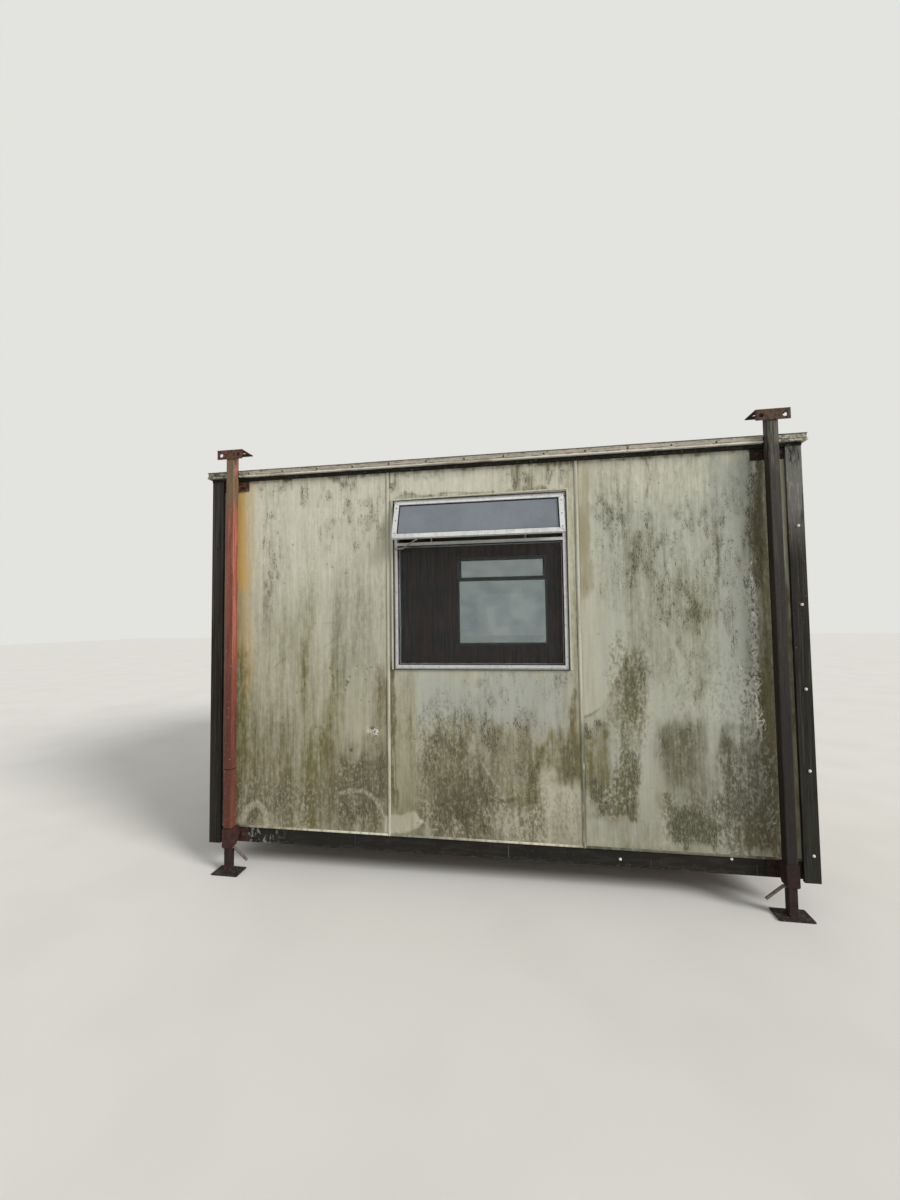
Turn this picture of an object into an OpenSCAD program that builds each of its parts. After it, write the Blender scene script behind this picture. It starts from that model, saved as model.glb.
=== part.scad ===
// Jack-leg site cabin: a flat-roofed, sheet-clad cabin that stands on four telescopic corner legs.
// X runs along the long side, the window side faces -Y, and Z is up from the ground.
// The origin is on the ground under the middle of the cabin. All sizes are in millimetres.

/* [Cabin] */
// Width of one cladding sheet
sheet_w = 1220; // [1150:10:1400]
// Height of a cladding sheet
sheet_h = 2440; // [2300:10:2700]
// Thickness of a cladding sheet
sheet_t = 12; // [6:1:18]
// Number of cladding sheets along a long side
sheet_count = 3; // [3:2:5]
// Gap between two neighbouring sheets
seam_gap = 4; // [2:1:8]
// Depth over the front and back cladding
cabin_d = 2800; // [2400:10:3200]
// Distance from the last long-side sheet to the face of the end cladding
end_return = 30; // [20:1:60]
// Thickness of the wall frame with its lining
wall_t = 50; // [38:1:90]

/* [Chassis and floor] */
// Clearance between the ground and the chassis
ground_gap = 170; // [120:5:400]
// Height of the chassis channel
rail_h = 110; // [90:1:160]
// Width of the chassis channel's flanges
rail_flange = 50; // [40:1:75]
// Steel thickness of the chassis channel
rail_t = 6; // [4:1:10]
// Number of floor joists
joist_count = 8; // [5:1:12]
// Width of a floor joist
joist_w = 45; // [38:1:63]
// Thickness of the floor deck
deck_t = 18; // [12:1:27]
// Lap of the cladding over the chassis
sheet_lap = 7; // [3:1:20]

/* [Trims] */
// Width of a corner board
board_w = 84; // [70:1:130]
// Thickness of a corner board
board_t = 20; // [12:1:25]
// Distance a corner board reaches below the chassis
board_drop = 5; // [0:1:30]
// Width of the flat part of a seam strip
strip_w = 20; // [16:1:40]
// Thickness of the flat part of a seam strip
strip_t = 2; // [1:0.5:4]
// Width of the raised bead on a seam strip
bead_w = 8; // [5:1:12]
// Height of the raised bead on a seam strip
bead_t = 3; // [2:0.5:6]

/* [Roof] */
// Thickness of the roof panel at its edge
roof_t = 110; // [80:1:160]
// Rise of the roof from its long edges to the middle
roof_crown = 35; // [10:1:80]
// Thickness of the roof covering
cover_t = 4; // [2:0.5:8]
// Overhang of the covering beyond the edge trim
cover_lip = 3; // [1:1:10]
// Thickness of the dark fascia board
fascia_t = 22; // [15:1:26]
// Height of the dark fascia board
fascia_h = 65; // [50:1:100]
// Thickness of the edge trim
trim_t = 19; // [12:1:30]
// Height of the edge trim
trim_h = 42; // [30:1:48]
// Projection of the trim's lower lip
lip_out = 4; // [2:1:8]
// Height of the trim's lower lip
lip_h = 10; // [6:1:16]
// Room cut in the roof edge at each side of a leg
leg_room = 6; // [5:1:12]

/* [Window] */
// Width of cladding between the window frame and the seam on each side
win_side = 55; // [40:1:150]
// Height of the window over its frame
win_h = 1110; // [900:2:1250]
// Height of the window's underside above the ground
win_z = 1343; // [1200:1:1400]
// Offset of the front window from the middle of the cabin
win_x_front = -12; // [-20:1:20]
// Offset of the back window from the middle of the cabin
win_x_back = 15; // [-20:1:20]
// Face width of the window frame
win_bar = 22; // [18:1:40]
// Face height of the window's bottom rail
win_cill = 28; // [22:1:50]
// Face height of the window's head
win_head = 36; // [30:1:60]
// Height of the hinge groove in the head, just above the vent
groove_h = 8; // [4:1:10]
// Depth of the hinge groove
groove_d = 7; // [3:1:9]
// Depth of the window frame behind the cladding's face
win_depth = 45; // [35:1:60]
// Projection of the window frame in front of the cladding
win_proud = 10; // [6:1:20]
// Lap of the frame's flange over the cladding
win_lap = 8; // [5:1:12]
// Thickness of the frame's flange
win_flange_t = 3; // [2:0.5:5]
// Height of the clear opening above the transom
light_h = 247; // [200:1:400]
// Face height of the transom
transom_h = 18; // [16:1:40]
// Thickness of the glass
glass_t = 4; // [3:1:6]
// Width of the step that the glass rests against
rebate = 8; // [5:1:12]
// Gap left round a pane in its frame
glass_gap = 0.5; // [0.2:0.1:1.5]
// Distance of the glass behind the cladding's face
glass_y = 12; // [8:1:20]
// Overlap of the vent sash on the frame
sash_over = 8; // [5:1:10]
// Face width of the vent sash's sides and bottom rail
sash_bar = 30; // [22:1:36]
// Face height of the vent sash's top rail
sash_head = 14; // [12:1:30]
// Thickness of the vent sash
sash_t = 19; // [14:1:30]
// Angle that the front vent stands open
vent_open = 20; // [0:1:30]
// Height of the stay's pivot below the transom
stay_drop = 22; // [10:1:60]
// Distance from the jamb to the place where the stay meets the vent
stay_reach = 154; // [120:1:300]
// Distance from the jamb to the stay's elbow
stay_elbow = 45; // [30:1:90]
// Height of the flat bar that the stay is made of
stay_w = 10; // [6:1:14]
// Thickness of the flat bar that the stay is made of
stay_t = 3; // [2:0.5:4]
// Diameter of the stay's pivot and of its elbow
stay_pivot_d = 14; // [14:1:20]
// Diameter of the pegs on the transom
peg_d = 7; // [5:1:10]
// Height of the pegs on the transom
peg_h = 28; // [12:1:30]
// Distance between the two pegs on the transom
peg_gap = 604; // [300:2:800]
// Width of the surround at each side of the window frame
surround_w = 16; // [13:1:26]
// Height of the surround above the window frame, at the middle
surround_h = 17; // [17:1:40]
// Rise of the surround's crooked top from left to right
surround_rise = 14; // [0:1:14]
// Thickness of the surround
surround_t = 5; // [3:1:8]
// Width of the surround's outer bead
surround_bead_w = 9; // [6:1:12]
// Thickness of the surround's outer bead
surround_bead_t = 12; // [6:1:16]

/* [Door] */
// Width of the door leaf
door_w = 762; // [650:1:900]
// Height of the door leaf
door_h = 1981; // [1850:1:2100]
// Thickness of the door leaf
door_t = 40; // [35:1:46]
// Face width of the door frame
door_bar = 30; // [25:1:60]
// Gap round the door leaf
door_gap = 3; // [2:0.5:5]
// Height of the threshold
sill_h = 16; // [10:1:30]
// Offset of the door from the middle of the end wall
door_y = 0; // [-100:10:100]

// Height of a hinge
hinge_h = 100; // [75:5:150]
// Diameter of a hinge's knuckle
hinge_d = 12; // [8:1:16]
// Width of a hinge's flap
hinge_flap = 26; // [18:1:28]
// Thickness of a hinge's flap
hinge_t = 3; // [2:0.5:4]
// Distance of the outer hinges from the ends of the leaf
hinge_end = 230; // [150:10:300]
// Height of the handle above the floor
handle_z = 1000; // [900:10:1100]
// Distance of the handle's spindle from the edge of the leaf
handle_x = 55; // [40:1:70]
// Length of the lever
lever_len = 118; // [90:1:140]
// Thickness of the lever
lever_t = 18; // [14:1:24]
// Distance of the lever from the leaf
lever_out = 26; // [22:1:45]
// Width of the plate behind the lever
handle_plate_w = 40; // [34:1:50]
// Height of the plate behind the lever
handle_plate_h = 170; // [120:5:220]

/* [Jack legs] */
// Gap between a bracket plate and the corner board beside it
bracket_gap = 1; // [0.5:0.5:20]
// Gap between the cladding and the leg
leg_gap = 29; // [26:1:60]
// Outside width of the outer leg
leg_out = 57; // [50:1:80]
// Wall thickness of the outer leg
leg_wall = 5; // [4:0.5:6]
// Clearance between the inner leg and the outer leg on each side
leg_fit = 1; // [0.5:0.1:2]
// Wall thickness of the inner leg
inner_wall = 4; // [3:0.5:6]
// Length of the inner leg
inner_len = 1700; // [1400:10:2200]
// Height of the top of the leg head
head_z = 2848; // [2800:1:3200]
// Radius on the outer leg's corners
leg_round = 5; // [3:0.5:6]
// Diameter of the retaining pin
pin_d = 16; // [12:1:20]
// Spacing of the pin holes along the inner leg
pin_pitch = 150; // [100:10:200]
// Number of pin holes along the inner leg
pin_holes = 9; // [4:1:9]
// Gap round the pin in its hole
pin_fit = 0.3; // [0.2:0.1:1]
// Gap between the pin and the foot of the outer leg, and beside the strap
pin_play = 0.3; // [0.2:0.1:1]
// Diameter of the pin's head
pin_head_d = 24; // [20:1:32]
// Thickness of the pin's head
pin_head_t = 6; // [4:1:10]
// Length of the pin's sloping handle
pin_handle = 120; // [90:5:160]
// Slope of the pin's handle below level
pin_slope = 40; // [20:1:50]
// Width of a base plate
foot_w = 180; // [150:5:220]
// Depth of a base plate
foot_d = 110; // [90:5:150]
// Thickness of a base plate
foot_t = 10; // [8:1:20]

/* [Leg head and brackets] */
// Length of the head angle
head_w = 184; // [150:2:240]
// Depth of the head's flat flange
head_d = 130; // [100:5:160]
// Height of the head's front flange
head_h = 63; // [50:1:90]
// Thickness of the head angle
head_t = 6; // [5:1:10]
// Diameter of the holes in the head
head_hole_d = 26; // [18:1:30]
// Spacing of the holes in the head
head_pitch = 124; // [100:2:130]
// Depth of the head's holes below its top
head_hole_z = 36; // [30:1:40]
// Distance of the flat flange's holes behind the head's front face
head_hole_y = 76; // [60:1:90]
// Length of a bracket plate
plate_w = 182; // [150:2:240]
// Thickness of a bracket plate
plate_t = 8; // [6:1:12]
// Height of the top bracket
top_plate_h = 66; // [50:1:100]
// Height of the bottom bracket's plate
low_plate_h = 96; // [80:1:110]
// Height of the strap round the foot of the outer leg
strap_h = 121; // [100:1:150]
// Thickness of the strap and its cheeks
strap_t = 4; // [3:0.5:6]
// Height of the cheeks' lower edge above the strap's, at the plate
cheek_rise = 48; // [10:1:52]

/* [Hidden] */
$fn = 48;

// Length of a cut past the surface that it goes through
past = 12;
// Gap between pieces that lie against each other on a slope
seat = 0.3;

// Plan of the shell
long_half = sheet_count * sheet_w / 2;
half_l = long_half + end_return;
half_d = cabin_d / 2;
frame_x = half_l - sheet_t;
frame_y = half_d - sheet_t;
room_x = frame_x - wall_t;
room_y = frame_y - wall_t;

// Levels
rail_top = ground_gap + rail_h;
deck_top = rail_top + deck_t;
sheet_z = rail_top - sheet_lap;
eaves_z = sheet_z + sheet_h;
roof_z = eaves_z - roof_t;
fascia_z = eaves_z - fascia_h;
board_z = ground_gap - board_drop;
trim_z = eaves_z - trim_h;

// Roof edge, outwards from the cladding
trim_x = half_l + fascia_t + trim_t;
trim_y = half_d + fascia_t + trim_t;
cover_x = trim_x + cover_lip;
cover_y = trim_y + cover_lip;

// Window over its frame, and the height of its transom's middle
win_w = sheet_w - 2 * win_side;
transom_z = win_h - win_head - light_h - transom_h / 2;

// Window: the hole in the wall, the clear opening and the two lights in it
win_hole_w = win_w - 2 * win_lap;
win_hole_h = win_h - 2 * win_lap;
win_fit = 2;
clear_w = win_w - 2 * win_bar;
transom_low = transom_z - transom_h / 2;
transom_top = transom_z + transom_h / 2;
head_low = win_h - win_head;
glass_back = glass_y + glass_t + seat;
sash_w = clear_w + 2 * sash_over;
sash_low = transom_top - sash_over;
sash_top = head_low + sash_over;
sash_h = sash_top - sash_low;
recess_in = sash_bar - rebate;
recess_top = sash_h - sash_head + rebate;
surround_left = win_h + surround_h - surround_rise / 2;
surround_right = surround_left + surround_rise;

// Door frame over its bars
door_frame_w = door_w + 2 * (door_gap + door_bar);
door_frame_h = sill_h + door_h + 2 * door_gap + door_bar;
door_stop = 10;

// Legs: each bracket plate stands beside a corner board, with its leg in the middle of the plate
leg_x = half_l + board_t - board_w - bracket_gap - plate_w / 2;
leg_y = half_d + leg_gap + leg_out / 2;
inner_w = leg_out - 2 * leg_wall - 2 * leg_fit;
outer_z = ground_gap;
pin_z = outer_z - pin_play - pin_d / 2;
pin_end = leg_out / 2 + strap_t + pin_play + pin_head_t;
wall_y = leg_gap + leg_out / 2;
rail_y = wall_y + sheet_t;
edge_gap = 2;

// A square with rounded corners, centred on the origin
module round_square(s, r) {
    square([s - 2 * r, s], center = true);
    square([s, s - 2 * r], center = true);
    for (x = [-1, 1], y = [-1, 1]) translate([x * (s / 2 - r), y * (s / 2 - r)]) circle(r = r);
}

// A flat ring standing in the XZ plane: outer size w by h, with its bars' widths, from y0 to y1
module window_ring(w, h, side, bottom, top, y0, y1) {
    difference() {
        translate([-w / 2, y0, 0]) cube([w, y1 - y0, h]);
        translate([-w / 2 + side, y0 - past, bottom])
            cube([w - 2 * side, y1 - y0 + 2 * past, h - bottom - top]);
    }
}

// Front is side = -1, back is side = 1: local -Y points outwards and local zero is the cladding's face
module at_window(side) {
    translate([side < 0 ? win_x_front : win_x_back, side * half_d, win_z])
        rotate([0, 0, side < 0 ? 0 : 180]) children();
}

// Local +Y of the door points into the cabin, and local zero is the end cladding's face
module at_door() {
    translate([half_l, door_y, deck_top]) rotate([0, 0, 90]) children();
}

// One leg: local -Y points away from the cabin and local zero is the leg's axis
module at_leg(sx, sy) {
    translate([sx * leg_x, sy * leg_y, 0]) rotate([0, 0, sy < 0 ? 0 : 180]) children();
}

module at_every_leg() {
    for (sx = [-1, 1], sy = [-1, 1]) at_leg(sx, sy) children();
}

module window_hole(side) {
    at_window(side) translate([-win_hole_w / 2, -past, win_lap])
        cube([win_hole_w, sheet_t + wall_t + 2 * past, win_hole_h]);
}

module door_hole(room) {
    at_door() translate([-door_frame_w / 2 - room, -past, -past])
        cube([door_frame_w + 2 * room, sheet_t + wall_t + 2 * past, door_frame_h + room + past]);
}

// Chassis and floor

// A channel lying along X with its web at y = 0 and its flanges towards +Y
module channel(len) {
    translate([-len / 2, 0, ground_gap]) {
        cube([len, rail_t, rail_h]);
        cube([len, rail_flange, rail_t]);
        translate([0, 0, rail_h - rail_t]) cube([len, rail_flange, rail_t]);
    }
}

module chassis_frame() {
    color([0.13, 0.12, 0.11]) {
        for (turn = [0, 180]) rotate([0, 0, turn]) {
            translate([0, -frame_y, 0]) channel(2 * frame_x);
            translate([-frame_x, 0, 0]) rotate([0, 0, -90]) channel(2 * frame_y);
        }
    }
}

module floor_joists() {
    end_x = frame_x - rail_flange - joist_w / 2;
    step = 2 * end_x / (joist_count - 1);
    color([0.45, 0.34, 0.22]) for (i = [0 : joist_count - 1])
        translate([i * step - end_x, 0, ground_gap + rail_t]) difference() {
            translate([-joist_w / 2, -frame_y + rail_t, 0])
                cube([joist_w, 2 * (frame_y - rail_t), rail_h - rail_t]);
            // The ends are notched under the chassis flanges
            for (s = [-1, 1])
                translate([-joist_w, s * (frame_y - rail_flange / 2) - rail_flange / 2, rail_h - 2 * rail_t])
                    cube([2 * joist_w, rail_flange, rail_t + past]);
        }
}

module floor_deck() {
    color([0.5, 0.42, 0.32]) translate([-frame_x, -frame_y, rail_top])
        cube([2 * frame_x, 2 * frame_y, deck_t]);
}

// Walls

module long_wall(side) {
    color([0.42, 0.25, 0.13]) difference() {
        translate([-frame_x, side < 0 ? -frame_y : room_y, deck_top])
            cube([2 * frame_x, wall_t, roof_z - deck_top]);
        window_hole(side);
    }
}

module end_wall(side) {
    color([0.42, 0.25, 0.13]) difference() {
        translate([side < 0 ? -frame_x : room_x, -room_y, deck_top])
            cube([wall_t, 2 * room_y, roof_z - deck_top]);
        if (side > 0) door_hole(0);
    }
}

module front_wall() { long_wall(-1); }
module back_wall() { long_wall(1); }
module left_wall() { end_wall(-1); }
module right_wall() { end_wall(1); }

// Cladding

module long_sheets(side) {
    color([0.72, 0.71, 0.6]) difference() {
        for (i = [0 : sheet_count - 1])
            translate([-long_half + i * sheet_w + seam_gap / 2, side < 0 ? -half_d : frame_y, sheet_z])
                cube([sheet_w - seam_gap, sheet_t, sheet_h]);
        window_hole(side);
    }
}

// The end is one whole sheet in the middle and a cut sheet on each side of it
module end_sheets(side) {
    edges = [-frame_y, -sheet_w / 2, sheet_w / 2, frame_y];
    color([0.72, 0.71, 0.6]) difference() {
        for (i = [0 : 2])
            translate([side < 0 ? -half_l : frame_x, edges[i] + seam_gap / 2, sheet_z])
                cube([sheet_t, edges[i + 1] - edges[i] - seam_gap, sheet_h]);
        if (side > 0) door_hole(0);
    }
}

module front_sheets() { long_sheets(-1); }
module back_sheets() { long_sheets(1); }
module left_sheets() { end_sheets(-1); }
module right_sheets() { end_sheets(1); }

// A joint strip standing on a face at y = 0, with its bead beside the joint
module seam_strip() {
    translate([-strip_w / 2, -strip_t, sheet_z]) cube([strip_w, strip_t, fascia_z - sheet_z]);
    translate([-bead_w / 2, -strip_t - bead_t, sheet_z]) cube([bead_w, bead_t + strip_t, fascia_z - sheet_z]);
}

module seam_strips() {
    color([0.76, 0.75, 0.66]) difference() {
        union() {
            for (turn = [0, 180], i = [1 : sheet_count - 1])
                rotate([0, 0, turn]) translate([-long_half + i * sheet_w, -half_d, 0]) seam_strip();
            for (turn = [-90, 90], s = [-1, 1])
                rotate([0, 0, turn]) translate([s * sheet_w / 2, -half_l, 0]) seam_strip();
        }
        // A strip stops where a window's surround or the door frame covers it
        for (side = [-1, 1]) at_window(side) translate([-win_w / 2 - surround_w, -past, 0])
            cube([win_w + 2 * surround_w, past, surround_right]);
        door_hole(hinge_flap);
    }
}

// Corner boards

module side_corner_boards() {
    color([0.28, 0.27, 0.25]) for (sx = [-1, 1], sy = [-1, 1])
        translate([sx * (half_l + board_t - board_w / 2), sy * (half_d + board_t / 2), board_z])
            linear_extrude(fascia_z - board_z) square([board_w, board_t], center = true);
}

module end_corner_boards() {
    color([0.28, 0.27, 0.25]) for (sx = [-1, 1], sy = [-1, 1])
        translate([sx * (half_l + board_t / 2), sy * (half_d - board_w / 2), board_z])
            linear_extrude(fascia_z - board_z) square([board_t, board_w], center = true);
}

// Roof, with its covering lying just clear of the panel

// The fall runs from the middle to both long sides, in proportion to the distance
function roof_rise(y) = roof_crown * (1 - abs(y) / cover_y);

module along_x(len) {
    rotate([90, 0, 90]) translate([0, 0, -len / 2]) linear_extrude(len) children();
}

module roof_panel() {
    color([0.8, 0.79, 0.74]) along_x(2 * frame_x)
        polygon([[-frame_y, roof_z], [frame_y, roof_z], [frame_y, eaves_z + roof_rise(frame_y)],
            [0, eaves_z + roof_crown], [-frame_y, eaves_z + roof_rise(frame_y)]]);
}

// Room for the legs where they pass the roof's edge
module leg_notches() {
    w = leg_out + 2 * leg_room;
    d = cover_y - half_d - fascia_t + past;
    for (sx = [-1, 1], sy = [-1, 1])
        translate([sx * leg_x - w / 2, sy < 0 ? -half_d - fascia_t - d : half_d + fascia_t, trim_z - past])
            cube([w, d, trim_h + roof_crown + cover_t + past]);
}

module roof_covering() {
    color([0.3, 0.31, 0.3]) difference() {
        along_x(2 * cover_x)
            translate([0, eaves_z + seat]) polygon([[-cover_y, 0], [0, roof_crown], [cover_y, 0],
                [cover_y, cover_t], [0, roof_crown + cover_t], [-cover_y, cover_t]]);
        leg_notches();
    }
}

// A rectangular ring round the cabin between two offsets from its cladding
module edge_ring(inner, outer, z0, h) {
    translate([0, 0, z0]) linear_extrude(h) difference() {
        square([2 * (half_l + outer), 2 * (half_d + outer)], center = true);
        square([2 * (half_l + inner), 2 * (half_d + inner)], center = true);
    }
}

module roof_fascia() {
    color([0.16, 0.15, 0.14]) edge_ring(0, fascia_t, fascia_z, fascia_h);
}

module roof_trim() {
    color([0.72, 0.71, 0.66]) difference() {
        union() {
            edge_ring(fascia_t, fascia_t + trim_t, trim_z, trim_h);
            edge_ring(fascia_t, fascia_t + trim_t + lip_out, trim_z, lip_h);
        }
        leg_notches();
    }
}

// Windows

module window_frame() {
    color([0.79, 0.79, 0.8]) {
        window_ring(win_w, win_h, win_bar, win_cill, win_head, -win_flange_t, 0);
        difference() {
            translate([0, 0, win_lap + win_fit])
                window_ring(win_hole_w - 2 * win_fit, win_hole_h - 2 * win_fit, win_bar - win_lap - win_fit,
                    win_cill - win_lap - win_fit, win_head - win_lap - win_fit, -win_proud, win_depth);
            translate([-sash_w / 2, -win_proud - past, sash_top]) cube([sash_w, past + groove_d, groove_h]);
        }
        translate([-clear_w / 2, -win_proud, transom_low]) cube([clear_w, win_proud + win_depth, transom_h]);
        difference() {
            translate([-clear_w / 2, glass_back, win_cill])
                cube([clear_w, win_depth - glass_back, transom_low - win_cill]);
            translate([-clear_w / 2 + rebate, 0, win_cill + rebate])
                cube([clear_w - 2 * rebate, win_depth + past, transom_low - win_cill - 2 * rebate]);
        }
    }
}

module window_glass() {
    color([0.6, 0.68, 0.72, 0.35])
        translate([-clear_w / 2 + glass_gap, glass_y, win_cill + glass_gap])
            cube([clear_w - 2 * glass_gap, glass_t, transom_low - win_cill - 2 * glass_gap]);
}

// The vent hangs from its top edge, just in front of the frame
module on_hinge(angle) {
    translate([0, -win_proud - seat, sash_top]) rotate([-angle, 0, 0]) translate([0, 0, -sash_h]) children();
}

module vent_sash(angle) {
    color([0.82, 0.82, 0.83]) on_hinge(angle) difference() {
        window_ring(sash_w, sash_h, sash_bar, sash_bar, sash_head, -sash_t, 0);
        translate([-sash_w / 2 + recess_in, -sash_t / 2, recess_in])
            cube([sash_w - 2 * recess_in, sash_t, recess_top - recess_in]);
    }
}

module vent_glass(angle) {
    color([0.6, 0.68, 0.72, 0.35]) on_hinge(angle)
        translate([-sash_w / 2 + recess_in + glass_gap, -sash_t / 2 + seat, recess_in + glass_gap])
            cube([sash_w - 2 * (recess_in + glass_gap), glass_t, recess_top - recess_in - 2 * glass_gap]);
}

module front_window_frame() { at_window(-1) window_frame(); }
module front_window_glass() { at_window(-1) window_glass(); }
module front_vent_sash() { at_window(-1) vent_sash(vent_open); }
module front_vent_glass() { at_window(-1) vent_glass(vent_open); }
module back_window_frame() { at_window(1) window_frame(); }
module back_vent_sash() { at_window(1) vent_sash(0); }
module back_glass() {
    at_window(1) {
        window_glass();
        vent_glass(0);
    }
}

// A flat bar standing on edge between two points
module bar_between(a, b) {
    d = b - a;
    translate(a) rotate([0, -atan2(d.z, norm([d.x, d.y])), atan2(d.y, d.x)])
        translate([0, -stay_t / 2, -stay_w / 2]) cube([norm(d), stay_t, stay_w]);
}

// Where a point of the vent, given as on the closed sash, lies when it stands open
function on_open_vent(x, y, z) = [
    x,
    y * cos(vent_open) + (z - sash_h) * sin(vent_open) - win_proud - seat,
    sash_top - y * sin(vent_open) + (z - sash_h) * cos(vent_open)
];

// The stay: a pivot on the jamb, a bar with an elbow, and a lug under the sash. Two pegs stand on the transom
module front_vent_stay() {
    jamb = [-(clear_w + win_bar) / 2, -win_proud - stay_w, transom_low - stay_drop];
    elbow = [-clear_w / 2 + stay_elbow, jamb.y - 1.5 * stay_w, jamb.z];
    lug = on_open_vent(stay_reach - clear_w / 2, -sash_t / 2, -stay_w);
    color([0.75, 0.74, 0.7]) at_window(-1) {
        translate(jamb - [0, stay_t, 0]) rotate([-90, 90, 0]) cylinder(d = stay_pivot_d, h = stay_w + stay_t);
        bar_between(jamb, elbow);
        translate(elbow) rotate([90, 90, 0]) cylinder(d = stay_pivot_d, h = 3 * stay_t, center = true);
        bar_between(elbow, lug);
        on_hinge(vent_open)
            translate([stay_reach - (clear_w + stay_w) / 2, -(sash_t + stay_w) / 2, -1.5 * stay_w])
                cube([stay_w, stay_w, 1.5 * stay_w]);
        for (s = [-1, 1]) translate([s * peg_gap / 2, -win_proud + peg_d / 2, transom_top])
            cylinder(d = peg_d, h = peg_h);
    }
}

// A strip up both sides and over the top: its width at the sides, and the lower edge of its crooked top
module surround(width, low_left, low_right, t) {
    half = win_w / 2 + surround_w;
    rotate([90, 0, 0]) linear_extrude(t) polygon([
        [-half, 0], [-half, surround_left], [half, surround_right], [half, 0],
        [half - width, 0], [half - width, low_right], [width - half, low_left], [width - half, 0]
    ]);
}

// The surround fills the gap round the frame, with a bead along its outer edge
module window_surrounds() {
    color([0.75, 0.74, 0.65]) for (side = [-1, 1]) at_window(side) {
        surround(surround_w - win_fit, win_h + win_fit, win_h + win_fit, surround_t);
        surround(surround_bead_w, surround_left - surround_bead_w, surround_right - surround_bead_w,
            surround_bead_t);
    }
}

// Door

module door_frame() {
    stop = door_bar + door_gap + door_stop;
    color([0.36, 0.35, 0.31]) at_door() {
        window_ring(door_frame_w, door_frame_h, door_bar, sill_h, door_bar, 0, sheet_t + wall_t);
        // Stop that the leaf closes against
        window_ring(door_frame_w, door_frame_h, stop, sill_h, stop, door_t + seat, sheet_t + wall_t);
    }
}

module door_leaf() {
    color([0.7, 0.69, 0.6]) at_door()
        translate([-door_w / 2, 0, sill_h + door_gap]) cube([door_w, door_t, door_h]);
}

// A hinge: a flap on each side of the joint at x = 0, and the knuckle in front of it
module hinge() {
    translate([-hinge_flap, -hinge_t, -hinge_h / 2]) cube([2 * hinge_flap, hinge_t, hinge_h]);
    translate([0, -hinge_d / 2, -hinge_h / 2]) cylinder(d = hinge_d, h = hinge_h);
}

// A handle: a plate on the leaf, a spindle and a lever that points away from the leaf's edge
module handle() {
    translate([-handle_plate_w / 2, -hinge_t, -handle_plate_h / 2])
        cube([handle_plate_w, hinge_t, handle_plate_h]);
    rotate([90, 0, 0]) cylinder(d = lever_t, h = lever_out);
    translate([-lever_t / 2, -lever_out - lever_t, -lever_t / 2]) cube([lever_len, lever_t, lever_t]);
}

module door_hardware() {
    color([0.45, 0.43, 0.4]) at_door() {
        for (z = [hinge_end, door_h / 2, door_h - hinge_end])
            translate([(door_w + door_gap) / 2, 0, sill_h + door_gap + z]) hinge();
        translate([-door_w / 2 + handle_x, 0, handle_z]) handle();
    }
}

// Jack legs

module outer_leg() {
    translate([0, 0, outer_z]) linear_extrude(head_z - head_t - outer_z) difference() {
        round_square(leg_out, leg_round);
        square(leg_out - 2 * leg_wall, center = true);
    }
}

module inner_leg() {
    difference() {
        translate([0, 0, foot_t]) linear_extrude(inner_len) difference() {
            round_square(inner_w, leg_round / 2);
            square(inner_w - 2 * inner_wall, center = true);
        }
        for (i = [0 : pin_holes - 1]) translate([-leg_out, 0, pin_z + i * pin_pitch])
            rotate([0, 90, 0]) cylinder(d = pin_d + 2 * pin_fit, h = 2 * leg_out);
    }
    translate([-foot_w / 2, -foot_d / 2, 0]) cube([foot_w, foot_d, foot_t]);
}

// The pin lies under the outer leg, and its handle slopes down on the side that dir gives
module leg_pin(dir) {
    rotate([0, 0, dir > 0 ? 0 : 180]) {
        translate([-pin_end, 0, pin_z]) rotate([0, 90, 0]) cylinder(d = pin_d, h = 2 * pin_end);
        translate([-pin_end, 0, pin_z]) rotate([0, 90, 0]) cylinder(d = pin_head_d, h = pin_head_t);
        translate([pin_end, 0, pin_z]) {
            sphere(d = pin_d);
            rotate([0, 90 + pin_slope, 0]) cylinder(d = pin_d, h = pin_handle);
        }
    }
}

module front_left_outer_leg() { color([0.48, 0.25, 0.2]) at_leg(-1, -1) outer_leg(); }
module front_right_outer_leg() { color([0.25, 0.23, 0.2]) at_leg(1, -1) outer_leg(); }
module back_left_outer_leg() { color([0.25, 0.23, 0.2]) at_leg(-1, 1) outer_leg(); }
module back_right_outer_leg() { color([0.48, 0.25, 0.2]) at_leg(1, 1) outer_leg(); }
module front_left_inner_leg() { color([0.24, 0.15, 0.12]) at_leg(-1, -1) inner_leg(); }
module front_right_inner_leg() { color([0.15, 0.14, 0.12]) at_leg(1, -1) inner_leg(); }
module back_left_inner_leg() { color([0.15, 0.14, 0.12]) at_leg(-1, 1) inner_leg(); }
module back_right_inner_leg() { color([0.24, 0.15, 0.12]) at_leg(1, 1) inner_leg(); }
module front_left_leg_pin() { color([0.35, 0.32, 0.29]) at_leg(-1, -1) leg_pin(1); }
module front_right_leg_pin() { color([0.35, 0.32, 0.29]) at_leg(1, -1) leg_pin(-1); }
module back_left_leg_pin() { color([0.35, 0.32, 0.29]) at_leg(-1, 1) leg_pin(-1); }
module back_right_leg_pin() { color([0.35, 0.32, 0.29]) at_leg(1, 1) leg_pin(1); }

// The head is a length of angle: a flat flange over the leg and a flange down its front
module leg_head() {
    front = -leg_out / 2 - head_t;
    difference() {
        union() {
            translate([-head_w / 2, front, head_z - head_t]) cube([head_w, head_d, head_t]);
            translate([-head_w / 2, front, head_z - head_h]) cube([head_w, head_t, head_h]);
        }
        for (s = [-1, 1]) {
            translate([s * head_pitch / 2, front - past, head_z - head_hole_z])
                rotate([-90, 0, 0]) cylinder(d = head_hole_d, h = head_t + 2 * past);
            translate([s * head_pitch / 2, front + head_hole_y, head_z - head_t - past])
                cylinder(d = head_hole_d, h = head_t + 2 * past);
        }
    }
}

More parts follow.
